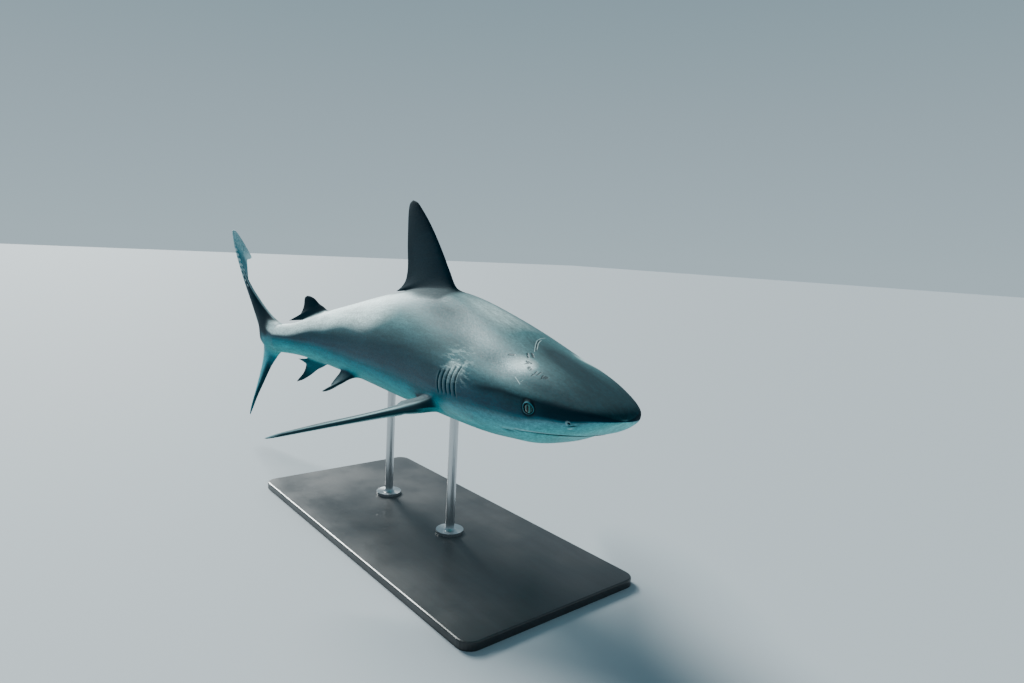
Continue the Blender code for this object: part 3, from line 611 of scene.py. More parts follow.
rootShare = upperLobe["rootShare"]
share = np.append(np.linspace(0, rootShare, upperLobe["rootRows"], endpoint=False)[1:],
                  np.linspace(rootShare, 1, upperLobe["rows"] - upperLobe["rootRows"]))
across = .5 - .5 * np.cos(columnAngle)
sign = np.sign(np.round(np.sin(columnAngle), 9))
lead, trail, half = (curveRows(upperLobe[name], share) for name in ("front", "rear", "thick"))
rings = finRings(lead, trail, half[:, 0], across, sign, (0, 1, 0),
                 np.clip(1 - share / upperLobe["rounding"], 0, 1))
lobeValues = lobeShading(share[:, None], across)
lobeNumbers = addPoints(place(rings), lobeValues, rings)
bodyNumbers = closeTip(np.vstack([bodyNumbers, lobeNumbers]))
keep = np.ones((len(bodyNumbers) - 1, columns), bool)
allPoints = np.concatenate([points, place(rings)])
allNormals = gridNormals(allPoints)
allPlaces = np.concatenate([places, rings])
allFold = np.concatenate([fold, np.broadcast_to(fold[-1], rings.shape[:2])])
allValues = {name: np.concatenate([bodyValues[name], np.broadcast_to(lobeValues[name], rings.shape[:2])])
             for name in ("coat", "duskAndShade", "lift")}
rowStations = np.append(baseS[:, 0], body["tailRoot"] + share * 24)


def openHole(first, last, middle, halfWidth):
    # clears a block of body faces; gives the rows and columns of its edge points, which start in
    # the middle of its front side and run towards the lower columns
    low, high = middle - halfWidth, middle + halfWidth
    rows = np.arange(first, last + 1)
    keep[np.ix_(rows[:-1], np.arange(low, high) % columns)] = False
    front = np.arange(middle, low - 1, -1)
    loopRows = np.concatenate([np.full(len(front), first), rows[1:], np.full(2 * halfWidth, last),
                               rows[::-1][1:], np.full(halfWidth - 1, first)])
    loopColumns = np.concatenate([front, np.full(len(rows) - 1, low), np.arange(low + 1, high + 1),
                                  np.full(len(rows) - 1, high), np.arange(high - 1, middle, -1)])
    return loopRows, loopColumns % columns


def aroundFin(halfWidth, rows, frontShare=.02, rearShare=.015):
    # shares of the chord for the hole's edge points, and which face each is on
    corners = (np.arange(halfWidth + 1) / halfWidth)**2
    sides = np.linspace(frontShare, 1 - rearShare, rows + 1)[1:]
    half = np.concatenate([frontShare * corners, sides, 1 - rearShare * corners[-2::-1]])
    sign = np.concatenate([[0], np.ones(len(half) - 2), [0], -np.ones(len(half) - 2)])
    return np.concatenate([half, half[-2:0:-1]]), sign


def addFin(loop, rings, values, corner, size, filletRows=6):
    # fin = smooth rows (cubic Hermite) from the hole's edge to its first ring, then its rings;
    # they leave the skin along it, and the values pass from the body's to the fin's own
    world, edge, normal = place(rings), allPoints[loop], allNormals[loop]
    gap = world[0] - edge
    distance = np.linalg.norm(gap, axis=1, keepdims=True)
    start = gap - (gap * normal).sum(axis=1, keepdims=True) * normal
    start *= distance / np.maximum(np.linalg.norm(start, axis=1, keepdims=True), distance * .35)
    end = unit(world[1] - world[0]) * distance
    t = (np.arange(1, filletRows) / filletRows)[:, None, None]
    fillet = ((2 * t**3 - 3 * t**2 + 1) * edge + (t**3 - 2 * t**2 + t) * start
              + (3 * t**2 - 2 * t**3) * world[0] + (t**3 - t**2) * end)
    blend = step(0, 1, t[..., 0])
    rootValues = {name: (allValues[name][loop] if name in allValues else 0.0) * (1 - blend)
                  + np.broadcast_to(value, rings.shape[:2])[0] * blend for name, value in values.items()}
    rootNumbers = addPoints(fillet, rootValues, allPlaces[loop] * (1 - t) + rings[0] * t, loose=1.0)
    ringNumbers = addPoints(world, values, rings, loose=fade(0, 5, np.arange(len(rings)))[:, None])
    addRings(closeTip(np.vstack([bodyNumbers[loop][None], rootNumbers, ringNumbers])), corner, size)


def rowAt(station):
    # the grid's row nearest to a place along the body
    return int(np.argmin(np.abs(rowStations - station)))


def clearBy(over):
    # smooth maximum: how far to move what is less than 0 over the skin
    return .5 * (np.sqrt(over**2 + .02) - over)


def pushUp(direction, clear=.12):
    # a ring's spine keeps clear of the back (direction 1) or the belly (-1), by so many percent
    def move(spine):
        surface = sectionSizes(np.clip(spine[..., 0], 0, body["tailRoot"]))[0 if direction > 0 else 1]
        spine[..., 2] += direction * clearBy((spine[..., 2] - surface) * direction - clear)
        return spine
    return move


def pushOut(side, out, clear=.15):
    # the same for a paired fin: it moves along the fin's own outward direction
    def move(spine):
        surface = flankRight(np.clip(spine[..., 0], 0, body["tailRoot"]), spine[..., 2])
        needed = clearBy(spine[..., 1] * side - surface - clear) / max(out[1], .3)
        return spine + needed[..., None] * out * np.array([1, side, 1])
    return move
def finValues(fin, share, across, coat):
    # dusky all over, the fin's own dusk deepened by painted shade, and more so towards the tip and the
    # rear edge; a thin pale line along the very rear edge; lift takes the fin's painted light, painted
    # shade where it is below 0
    rear = step(.72, 1, across) * step(.1, .3, share)
    duskAndShade = np.clip(fin["duskAndShadeAll"] + step(fin["tip"], 1, share) * .6 + rear * .3, 0, 1)
    return {"coat": coat, "duskAndShade": duskAndShade, "finness": 1.0, "pale": .10 * step(.985, 1, across),
            "lift": fin["paintedLight"]}


def finCurves(fin, crowding=.9):
    # shares of a fin's length for its rings, its two edges and its half thickness there; the front
    # edge starts further out, by the fin's lift
    share = fin["start"] + (1 - fin["start"]) * np.linspace(0, 1, fin["rows"])**crowding
    return (share, curveRows(fin["front"], fin["lift"] + (1 - fin["lift"]) * share),
            curveRows(fin["rear"], share), curveRows(fin["thick"], share)[:, 0])


# fins on the midline: edges are (share, behind snout, height)
# each fin's dusk all over is its own dusk deepened by painted shade, and its shine is painted light,
# painted shade where below 0
firstDorsal = {
    "front": [(0, 31.8, 6.60), (.10, 32.15, 7.70), (.30, 34.1, 10.40), (.50, 35.95, 12.75),
              (.70, 38.0, 15.10), (.85, 39.85, 16.90), (.94, 41.0, 17.85), (1, 41.85, 18.15)],
    "rear": [(0, 42.3, 6.75), (.06, 43.8, 6.78), (.13, 45.5, 6.76), (.20, 44.2, 7.34),
             (.30, 43.05, 8.50), (.42, 42.75, 10.10), (.60, 42.9, 13.00), (.80, 42.88, 16.00),
             (.92, 42.62, 17.65), (1, 42.0, 18.13)],
    "thick": [(0, .80), (.12, .58), (.5, .36), (.85, .20), (1, .02)],
    "hole": (31.2, 42.4), "halfWidth": 5, "lift": .08, "start": .035, "rows": 44,
    "coat": .40, "tip": .5, "duskAndShadeAll": .90, "paintedLight": 0, "unwrap": ((0, .50), (.30, .13)),
}
secondDorsal = {
    "front": [(0, 62.05, 3.50), (.12, 62.4, 4.30), (.40, 64.1, 5.15), (.70, 65.45, 6.00),
              (.90, 66.5, 6.32), (1, 67.05, 6.38)],
    "rear": [(0, 67.6, 2.70), (.12, 70.0, 2.57), (.25, 72.0, 2.52), (.40, 69.85, 3.05),
             (.55, 68.6, 3.85), (.75, 67.95, 5.00), (.90, 67.8, 6.00), (1, 67.25, 6.38)],
    "thick": [(0, .42), (.3, .27), (.8, .14), (1, .02)],
    "hole": (61.6, 67.9), "halfWidth": 6, "lift": .10, "start": .05, "rows": 28,
    "coat": .40, "tip": .5, "duskAndShadeAll": .94, "paintedLight": 0, "unwrap": ((.32, .50), (.16, .09)),
}
analFin = {
    "front": [(0, 61.95, -3.10), (.12, 62.35, -3.85), (.40, 64.4, -4.70), (.70, 66.4, -5.75),
              (.90, 68.4, -6.55), (1, 69.5, -6.82)],
    "rear": [(0, 66.3, -3.00), (.12, 67.8, -3.22), (.25, 69.2, -3.27), (.40, 67.8, -3.55),
             (.55, 67.2, -4.10), (.75, 67.7, -5.20), (.90, 68.9, -6.25), (1, 69.6, -6.80)],
    "thick": [(0, .42), (.3, .27), (.8, .14), (1, .02)],
    "hole": (61.5, 66.3), "halfWidth": 6, "lift": .10, "start": .05, "rows": 28,
    "coat": .58, "tip": .30, "duskAndShadeAll": .55, "paintedLight": 0, "unwrap": ((.50, .50), (.16, .09)),
}


def midlineFin(name, fin, upward):
    # the two edges' curves in the shark's middle plane, kept clear of the body
    middle, direction = (0, 1) if upward else (columns // 2, -1)
    first, last = (rowAt(station) for station in fin["hole"])
    loop = openHole(first, last, middle, fin["halfWidth"])
    across, sign = aroundFin(fin["halfWidth"], last - first)
    share, *edges, half = finCurves(fin)
    lead, trail = (np.insert(rows, 1, 0.0, axis=1) for rows in edges)
    rings = finRings(lead, trail, half, across, sign, (0, -direction, 0), moveSpine=pushUp(direction))
    addFin(loop, rings, finValues(fin, share[:, None], across, fin["coat"]), *fin["unwrap"])
    print(name, rings.shape[:2])


midlineFin("first dorsal fin", firstDorsal, True)
midlineFin("second dorsal fin", secondDorsal, True)
midlineFin("anal fin", analFin, False)


# paired fins: root point, own directions, then edges (share, behind root, outward, above plane)
pectoral = {
    "root": (24.3, 5.0, -3.6), "back": (1.0, 0.0, -.17), "out": (0.0, 1.40, -.28),
    "front": [(0, -.2, -1.0, 0), (.10, .4, 1.2, 0), (.30, 3.0, 5.0, .05), (.50, 6.2, 8.5, 0),
              (.70, 9.2, 11.3, 0), (.88, 11.9, 13.6, 0), (.96, 12.9, 14.5, 0), (1, 13.35, 14.85, 0)],
    "rear": [(0, 5.5, -.6, 0), (.06, 6.1, .4, -.1), (.13, 7.1, 1.75, .15), (.18, 6.8, 2.2, -.3),
             (.26, 7.0, 3.4, -.3), (.40, 8.2, 5.9, -.15), (.60, 10.3, 9.2, 0), (.80, 12.2, 12.2, 0),
             (.93, 13.3, 14.0, 0), (1, 13.5, 14.8, 0)],
    "thick": [(0, .95), (.10, .72), (.2, .50), (.4, .34), (.7, .24), (.9, .15), (1, .02)],
    # the pectoral's shine below 0 is painted shade over its top; its front line weights a painted highlight
    # above the front edge, a painted reflection under it and the pale tip
    "lift": .085, "start": .04, "rows": 56, "tip": .99, "duskAndShadeAll": 0, "paintedLight": -.48, "frontHighlights": .95,
    "unwrap": (((0, .66), (.30, .16)), ((.32, .66), (.30, .16))),
}
pelvic = {
    "root": (49.7, 3.1, -4.3), "back": (1.0, 0.0, -.05), "out": (0.0, 3.0, -2.6),
    "front": [(0, -.2, -.8, 0), (.20, .6, .4, 0), (.50, 2.2, 1.7, 0), (.80, 3.6, 2.8, 0),
              (.95, 4.3, 3.25, 0), (1, 4.55, 3.35, 0)],
    "rear": [(0, 4.5, -.8, 0), (.15, 5.6, .1, -.5), (.30, 6.6, .8, -1.1), (.45, 6.0, 1.4, -1.1),
             (.70, 5.3, 2.3, -.8), (.90, 4.9, 3.1, -.3), (1, 4.7, 3.35, 0)],
    "thick": [(0, .50), (.3, .30), (.8, .15), (1, .02)],
    "lift": .22, "start": .06, "rows": 30, "tip": .45, "duskAndShadeAll": .88, "paintedLight": 0, "frontHighlights": .25,
    "unwrap": (((.68, .50), (.14, .09)), ((.84, .50), (.14, .09))),
}


def pairedFin(kind, fin, side, word):
    # the edges' curves turned to the fin's own directions at its root, kept clear of the flank
    front, rear, angleFront, angleRear, halfWidth = finRoots[kind]
    middle = side * round((angleFront + angleRear) / 2 / 360 * columns) % columns
    first, last = rowAt(front - rootMargins[0]), rowAt(rear + rootMargins[1])
    loop = openHole(first, last, middle, halfWidth)
    across, sign = aroundFin(halfWidth, last - first)
    back, out = (unit(np.array(fin[key])) for key in ("back", "out"))
    share, *edges, half = finCurves(fin)
    lead, trail = ((fin["root"] + rows @ np.stack([back, out, np.cross(back, out)])) * (1, side, 1)
                   for rows in edges)
    rings = finRings(lead, trail, half, across, sign, (0, 0, side), moveSpine=pushOut(side, out))
    # the front edge is painted dark as shade, with a painted highlight line above it, a thin painted
    # reflection under it, and a pale tip
    upper, share = (sign * side > 0) | (across < .004), share[:, None]
    values = finValues(fin, share, across, np.where(upper, .30, .80))
    values["duskAndShade"] = np.where(
        upper, np.maximum(values["duskAndShade"] * .5, .9 * fade(.006, .026, across)),
        np.maximum(values["duskAndShade"], .96 * fade(.05, .08, across) * step(.02, .10, share)))
    over = hump(across - .055, .030) * step(0, .12, share) + .8 * step(.86, .97, share)
    under = hump(across - .10, .03) * step(.05, .15, share)
    values["pale"] = values["pale"] + fin["frontHighlights"] * np.where(upper, over, under)
    addFin(loop, rings, values, *fin["unwrap"][0 if side > 0 else 1])
    print(kind, "fin", word, rings.shape[:2])


for side, word in sides:
    pairedFin("pectoral", pectoral, side, word)
    pairedFin("pelvic", pelvic, side, word)

# the tail's lower lobe grows from the lower edge of the upper one
lowerLobe = {
    "front": [(0, 74.3, 0, -1.00), (.10, 74.7, 0, -2.60), (.30, 76.8, .2, -5.00), (.50, 78.7, .4, -7.80),
              (.75, 80.9, .5, -10.80), (.93, 82.6, .4, -13.20), (1, 83.3, .3, -14.00)],
    "rear": [(0, 83.6, -.6, 1.00), (.10, 82.9, -.6, 0.00), (.25, 81.7, -.7, -2.00),
             (.40, 81.6, -.6, -4.20), (.60, 82.1, -.3, -7.80), (.80, 82.9, 0, -11.20),
             (.93, 83.5, .2, -13.30), (1, 83.5, .25, -14.00)],
    "thick": [(0, .60), (.10, .46), (.5, .30), (.85, .16), (1, .02)],
    "halfWidth": 12, "rootRows": .93, "ends": (.04, .03), "rows": 44, "start": .20, "lift": 0,
    "unwrap": ((.64, .66), (.24, .16)),
}


def tailLowerLobe(fin):
    # as the other fins, with a front painted dark as shade, a blue-green middle, and a pale strip along
    # the rear edge
    first = len(baseS) - 1
    last = first + int(round(upperLobe["rootRows"] * fin["rootRows"]))
    loop = openHole(first, last, columns // 2, fin["halfWidth"])
    across, sign = aroundFin(fin["halfWidth"], last - first, *fin["ends"])
    share, lead, trail, half = finCurves(fin, crowding=1)
    rings = finRings(lead, trail, half, across, sign, (0, 1, 0))
    share = share[:, None]
    dark = .90 * fade(.06, .26, across) * step(.2, .34, share) * (1 - .7 * step(.70, .95, share))
    strip = .95 * hump(across - .84, .13 + .45 * share**3) * step(.20, .36, share)
    addFin(loop, rings, {"coat": .54 + .09 * step(.10, .35, across), "duskAndShade": dark, "finness": 1.0,
                         "pale": .10 * step(.985, 1, across), "lift": strip}, *fin["unwrap"])
    print("tail lower lobe", rings.shape[:2])


tailLowerLobe(lowerLobe)


# round patches in the grid, for the eyes and the nostrils
def spotAngle(spot):
    # the angle round the body at the spot's height, and how far one radian reaches there, in percent
    along, height = spot
    angles = np.linspace(0, math.pi, 721)
    heights = bodyPlaces(np.full(721, along), angles)[:, 2]
    middle = np.interp(height, heights[::-1], angles[::-1])
    near = placeInLengths(bodyPlaces(np.full(2, along), middle + np.array([-.02, .02])))
    return middle, np.linalg.norm(near[1] - near[0]) / .04 * 100


def openPatch(spot, side, reach):
    # clears the faces round a spot, as far as a reach in millimetres; gives the hole's loop, the turn
    # of each of its points round the spot, an even turn to use further in, and the skin's directions
    middle, rate = spotAngle(spot)
    column = int(round(middle / (2 * math.pi) * columns))
    near = slice(column - 12, column + 13)
    acrossBy = np.abs(fold[:, near] - middle) * rate / millimetre
    alongBy = (rowS[:, near] - spot[0]) / millimetre
    first = int(np.nonzero((alongBy[:, 4:-4] < -reach).all(axis=1))[0].max())
    last = int(np.nonzero((alongBy[:, 4:-4] > reach).all(axis=1))[0].min())
    clear = (acrossBy[first:last + 1] > reach).all(axis=0)
    halfColumns = max(12 - int(np.nonzero(clear[:13])[0].max()), int(np.nonzero(clear[12:])[0].min()))
    loop = openHole(first, last, side * column % columns, halfColumns)
    even = math.pi - side * np.arange(len(loop[0])) / len(loop[0]) * 2 * math.pi
    own = np.unwrap(np.arctan2((middle - allFold[loop]) * rate, allPlaces[loop][:, 0] - spot[0]))
    own += round((even[0] - own[0]) / (2 * math.pi)) * 2 * math.pi
    along, height = spot
    here, outward = outwardAt(along, height, side)
    backward = placeInLengths(flankPlaces(along + .1, height, side)) - here
    backward = unit(backward - outward * (backward @ outward))
    upward = np.cross(outward, backward) * side
    upward *= np.sign(upward[2])
    return loop, own, even, (here * bodyLength + shift, outward, backward, upward)


def sidePlaces(s, angle, side):
    # the body's places, on the right or mirrored to the left
    return bodyPlaces(s, angle) * (1, side, 1)


def patchRing(spot, side, radius, turn, oval=1.0):
    # a circle on the skin, in millimetres round the spot: along the body, and round it by its angle
    middle, rate = spotAngle(spot)
    reach = radius * millimetre
    return sidePlaces(spot[0] + reach * np.cos(turn), middle - reach * oval * np.sin(turn) / rate, side)


def blendedRings(spot, side, loop, own, first, count):
    # rings between the hole's own outline and the first circle
    middle, rate = spotAngle(spot)
    reach = first * millimetre
    shares = (np.arange(1, count + 1) / (count + 1))[:, None]
    s = allPlaces[loop][:, 0] * (1 - shares) + (spot[0] + reach * np.cos(own)) * shares
    angle = allFold[loop] * (1 - shares) + (middle - reach * np.sin(own) / rate) * shares
    return sidePlaces(s, angle, side)


def closePatch(loop, numbers, end, unwrap):
    # faces from the hole's edge through the rings to one point in their middle
    (left, low), (wide, high) = unwrap
    addRings(np.vstack([bodyNumbers[loop][None], numbers]), (left, low), (wide, high * .95))
    addPole(numbers[-1], end, (left, low + high * .95), (wide, high * .05))


# eyelids and sockets: rings from the skin to the lid's rim, then round the eyeball
eyelid = {
    # distance from the eye's middle and height over the skin, in millimetres
    "profile": [(19.0, 0.0), (17.6, -.06), (16.6, -.20), (15.8, -.22), (15.1, -.15), (14.4, .05),
                (13.7, .35), (13.0, .28), (12.4, -.10), (11.9, -.7), (11.5, -1.3), (11.15, -2.0)],
    "lid": [0, 0, 0, 0, .25, .8, 1, .8, .3, 0, 0, 0],         # how pale the ring is
    # how much painted shade lies in the dips round the lid and in the socket
    "hollow": [.20, .55, .80, .85, .80, .50, .08, .10, .45, .85, 1, 1],
    "oval": .73, "ovalFade": (14.5, 19.0),                     # the opening is lower than it is long
    "domeFade": (12.2, 17.0), "sink": .0010,                   # the ball sits a little deeper than plain
    "socketShares": [.03, .08, .16, .28, .45, .68, 1.0], "socketEnd": 150, "clear": .0003,
    "reach": 21.5, "unwrap": (((.90, .66), (.09, .09)), ((.90, .76), (.09, .09))),
    # where the rings leave the skin's shape: the turn round the eye, and the flat oval's plane
    "turnFade": (12.0, 19.0), "planeFade": (11.5, 17.0), "outerRings": 2, "lidCoat": .59, "lidPale": .06,
}


def addEyelid(side):
    # the lid's ring is an oval whose rim rises with the ball's dome; the socket runs on round the ball
    loop, own, even, (middle, outward, backward, upward) = openPatch(eyePlace, side, eyelid["reach"])
    centre = eyeCentres[side] - outward * eyelid["sink"]
    ball = eyeRadius + eyelid["clear"]
    rim = eyelid["profile"][-1][0] / 1000
    outer = blendedRings(eyePlace, side, loop, own, eyelid["profile"][0][0], eyelid["outerRings"])
    rings, surface = list(place(outer)), list(outer)
    for radius, height in eyelid["profile"]:
        mix = step(*eyelid["turnFade"], radius)
        turned = own * mix + even * (1 - mix)
        oval = eyelid["oval"] + (1 - eyelid["oval"]) * step(*eyelid["ovalFade"], radius)
        ringPlaces = patchRing(eyePlace, side, radius, turned, oval)
        away = radius / 1000 * np.stack([np.cos(turned), oval * np.sin(turned)])
        rimAway = rim * np.hypot(np.cos(turned), eyelid["oval"] * np.sin(turned))
        dome = np.sqrt(ball**2 - rimAway**2) - math.sqrt(ball**2 - rim**2)
        dome *= fade(*eyelid["domeFade"], radius)
        onPlane = middle + away[0][:, None] * backward + away[1][:, None] * upward
        weight = step(*eyelid["planeFade"], radius)
        rings.append(place(ringPlaces) * weight + onPlane * (1 - weight)
                     + outward * (height / 1000 + dome)[:, None])
        surface.append(ringPlaces)
    start, turned = np.arcsin(np.hypot(*away) / ball), np.arctan2(away[1], away[0])
    sideways = np.cos(turned)[:, None] * backward + np.sin(turned)[:, None] * upward
    for share in eyelid["socketShares"]:
        polar = (start * (1 - share) + math.radians(eyelid["socketEnd"]) * share)[:, None]
        rings.append(centre + np.cos(polar) * ball * outward + np.sin(polar) * ball * sideways)
        surface.append(ringPlaces)
    surface = np.array(surface)
    lid, hollow = (np.array([0] * eyelid["outerRings"] + eyelid[name] + [end] * len(eyelid["socketShares"]),
                            float)[:, None] for name, end in (("lid", 0), ("hollow", 1)))
    values = {name: value * (1 - lid) for name, value in skinShading(surface).items()}
    values["coat"] += eyelid["lidCoat"] * lid
    values.update(pale=eyelid["lidPale"] * lid, hollow=hollow)
    numbers = addPoints(np.array(rings), values, surface)
    back = addPoints((centre - outward * ball)[None], {"hollow": 1.0}, allPlaces[loop][:1])
    closePatch(loop, numbers, back[0], eyelid["unwrap"][0 if side > 0 else 1])
    return centre, outward, backward, upward


eyeDirections = {side: addEyelid(side) for side in eyeBoxes}

# nostrils: a small round pit with a low rim, a slit under it, and a flap under that
nostril = {
    "spot": (3.05, -.98), "reach": 18.5, "rings": 17, "outer": 16.5,
    # place back and up of the spot, half length, half height, all in mm; slope; height over the skin
    "ovals": {"hole": (-.2, 3.6, 2.3, 2.3, 0.0, -4.5), "slit": (-1.9, -2.8, 12.5, 1.6, -.08, -2.4),
              "flap": (3.6, -7.0, 5.5, 1.4, -.10, 1.0)},
    "rim": (1.9, .60, .4),                      # distance from the hole in its radii, width, height
    "calm": (12.5, 15.5), "unwrap": (((.82, .76), (.07, .09)), ((.82, .87), (.07, .09))),
}


def addNostril(side):
    # relief = sum of oval bumps and pits, each turned by its own slope
    spot = nostril["spot"]
    loop, own, even, (_, outward, _, _) = openPatch(spot, side, nostril["reach"])
    radii = nostril["outer"] * np.linspace(1, .04, nostril["rings"])
    turned = [own * mix + even * (1 - mix) for mix in step(5, 15, radii)]
    rings = np.concatenate([blendedRings(spot, side, loop, own, radii[0], 1),
                            [patchRing(spot, side, r, t) for r, t in zip(radii, turned)],
                            np.broadcast_to(patchRing(spot, side, 0.0, 0.0), (1, len(own), 3))])
    u, v = (np.vstack([own * 0, *(r * wave(t) for r, t in zip(radii, turned)), own * 0])
            for wave in (np.cos, np.sin))

    def away(name):
        backBy, upBy, halfLength, halfHeight, slope, _ = nostril["ovals"][name]
        cosine, sine = math.cos(math.atan(slope)), math.sin(math.atan(slope))
        du, dv = u - backBy, v - upBy
        return np.hypot((du * cosine + dv * sine) / halfLength, (dv * cosine - du * sine) / halfHeight)
    hole, slit, flap = (hump(away(name), 1) for name in nostril["ovals"])
    deep, shallow, high = (oval[-1] for oval in nostril["ovals"].values())
    rimAway, width, rimHeight = nostril["rim"]
    rim = hump(away("hole") - rimAway, width)
    relief = rim * rimHeight + np.minimum(hole * deep, slit * shallow) + flap * high
    inside = np.ones_like(u)           # the values start at the circles, not at the hole's outline
    inside[0] = 0
    relief = relief * fade(*nostril["calm"], np.hypot(u, v)) * inside
    points = place(rings) + outward * relief[..., None] / 1000
    # the pit and the slit are painted dark as shade
    hollow = np.maximum(step(.15, .50, hole) * 1.1, step(.35, .80, slit)) * inside
    overHole = step(-3, 3, v - nostril["ovals"]["hole"][1] + .6 * u)
    pale = np.clip(.65 * flap + .45 * rim * overHole, 0, 1) * (1 - np.clip(hollow, 0, 1)) * inside
    values = {**skinShading(rings), "hollow": hollow, "pale": pale}
    numbers = addPoints(points[:-1], {name: value[:-1] for name, value in values.items()}, rings[:-1])
    end = addPoints(points[-1, :1], {name: value[-1, :1] for name, value in values.items()}, rings[-1, :1])
    closePatch(loop, numbers, end[0], nostril["unwrap"][0 if side > 0 else 1])


for side in eyeBoxes:
    addNostril(side)

# body faces, with the holes left out, and the snout's tip
rowsIn, columnsIn = np.nonzero(keep)
after = (columnsIn + 1) % columns
skin["faces"].append(np.stack([bodyNumbers[rowsIn, columnsIn], bodyNumbers[rowsIn + 1, columnsIn],
                               bodyNumbers[rowsIn + 1, after], bodyNumbers[rowsIn, after]], axis=-1))
rowU = np.append(0, np.cumsum(np.sqrt(np.diff(rowStations))))
rowU /= rowU[-1]
bodyV = .48                             # the body's share of the unwrapped square's height
skin["unwrap"].append(boxCorners(rowU[rowsIn], columnsIn / columns * bodyV,
                                 rowU[rowsIn + 1], (columnsIn + 1) / columns * bodyV))
tipNumber = addPoints(place([[0.0, 0.0, 0.0]]), {"coat": .3}, np.zeros((1, 3)))[0]
addPole(bodyNumbers[0], tipNumber, (.90, .87), (.09, .03))


def calmFillets(points, faces, weight, rounds=14):
    # each loose point moves part way to the mean of its neighbours, again and again
    edges = np.concatenate([faces[:, [i, (i + 1) % 4]] for i in range(4)])
    edges = np.unique(np.sort(edges, axis=1), axis=0)
    edges = edges[edges[:, 0] != edges[:, 1]]
    here, there = np.concatenate([edges, edges[:, ::-1]]).T

    def summed(values):
        return np.bincount(here, weights=values[there], minlength=len(points))
    degree = np.maximum(np.bincount(here, minlength=len(points)), 1)
    for _ in range(2):
        weight = np.maximum(weight, .8 * summed(weight) / degree)
    weight = np.where(weight > .12, weight, 0)[:, None]
    for _ in range(rounds):
        total = np.stack([summed(column) for column in points.T], axis=1)
        points = points + .5 * weight * (total / degree[:, None] - points)
    return points


def addToScene(name, data):
    item = bpy.data.objects.new(name, data)
    bpy.context.scene.collection.objects.link(item)
    return item


def addMesh(name, points, faces, triangles):
    # one smooth mesh from four-sided and three-sided faces
    mesh = bpy.data.meshes.new(name)
    corners = np.concatenate([faces.reshape(-1), triangles.reshape(-1)]).astype(np.int32)
    sizes = np.concatenate([np.full(len(faces), 4), np.full(len(triangles), 3)])
    mesh.vertices.add(len(points))
    mesh.vertices.foreach_set("co", points.astype(np.float32).reshape(-1))
    mesh.loops.add(len(corners))
    mesh.loops.foreach_set("vertex_index", corners)
    mesh.polygons.add(len(sizes))
    mesh.polygons.foreach_set("loop_start", np.append(0, np.cumsum(sizes)[:-1]).astype(np.int32))
    mesh.polygons.foreach_set("loop_total", sizes.astype(np.int32))
    mesh.update(calc_edges=True)
    mesh.validate()
    mesh.shade_smooth()
    return addToScene(name, mesh)


def addAttribute(mesh, name, values):
    # one number, or three, for each point
    vector = values.ndim > 1
    layer = mesh.attributes.new(name, "FLOAT_VECTOR" if vector else "FLOAT", "POINT")
    layer.data.foreach_set("vector" if vector else "value", values.astype(np.float32).reshape(-1))


def buildSkin():
    # all gathered faces in one mesh, after the fins' roots are evened out
    points, values, flow, loose, faces, unwrap, triangles, triangleUnwrap = (
        np.concatenate(skin[name]) for name in list(skin)[1:])
    points = calmFillets(points, faces, loose)
    # a tip's last face can have two corners in one point: it becomes a triangle
    same = np.stack([faces[:, i] == faces[:, (i + 1) % 4] for i in range(4)], axis=1)
    flat = same.any(axis=1) | (faces[:, 0] == faces[:, 2]) | (faces[:, 1] == faces[:, 3])
    for i in range(4):
        found = same[:, i] & (same.sum(axis=1) == 1)
        picked = [j for j in range(4) if j != i]
        triangles = np.concatenate([triangles, faces[found][:, picked]])
        triangleUnwrap = np.concatenate([triangleUnwrap, unwrap[found][:, picked]])
    faces, unwrap = faces[~flat], unwrap[~flat]
    used = np.unique(np.concatenate([faces.reshape(-1), triangles.reshape(-1)]))
    renumber = np.full(len(points), -1)
    renumber[used] = np.arange(len(used))
    piece = addMesh("shark_skin", points[used], renumber[faces], renumber[triangles])
    mesh = piece.data
    for name, column in zip([*valueNames, "flow"], [*values[used].T, flow[used]]):
        addAttribute(mesh, name, column)
    layer = mesh.uv_layers.new(name="OFBake")
    layer.data.foreach_set("uv", np.concatenate(
        [unwrap.reshape(-1), triangleUnwrap.reshape(-1)]).astype(np.float32))
    print("skin", len(mesh.vertices), "points", len(mesh.polygons), "faces",
          sum(face.loop_total - 2 for face in mesh.polygons), "triangles")
    return piece


skinPiece = buildSkin()
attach(skinPiece, "root")
shown = ("stand_base", "stand_rod_front", "stand_rod_rear")
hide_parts(*[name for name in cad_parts
                         if name not in shown and not name.startswith("eye_")])


# small helpers for nodes, then one material for each finish
making = {}                             # the node tree that the helpers add to


def newMaterial(name, roughness, **sockets):
    # a principled shader; numbers that are the same all over are set on its own sockets
    material = bpy.data.materials.new(name)
    material.use_nodes = True
    making["tree"] = material.node_tree
    shader = material.node_tree.nodes["Principled BSDF"].inputs
    shader["Roughness"].default_value = roughness
    for socket, value in sockets.items():
        shader[socket.replace("_", " ")].default_value = value
    return material, shader


def node(kind, sockets, output=0, **settings):
    # a new node: its settings, then a value or another node's output for each named socket
    new = making["tree"].nodes.new("ShaderNode" + kind)
    for name, setting in settings.items():
        setattr(new, name, setting)
    for socket, value in sockets.items():
        connect(value, new.inputs[socket])
    return new.outputs[output]


def connect(value, socket):
    if isinstance(value, bpy.types.NodeSocket):
        making["tree"].links.new(value, socket)
    elif isinstance(value, (tuple, Vector)):
        socket.default_value = (*value, 1.0)[:len(socket.default_value)]
    else:
        socket.default_value = value


def maths(operation, *values, clamp=False):
    return node("Math", dict(enumerate(values)), operation=operation, use_clamp=clamp)


def times(*values, clamp=False):
    return maths("MULTIPLY", *values, clamp=clamp)


def plus(*values, clamp=False):
    return maths("ADD", *values, clamp=clamp)


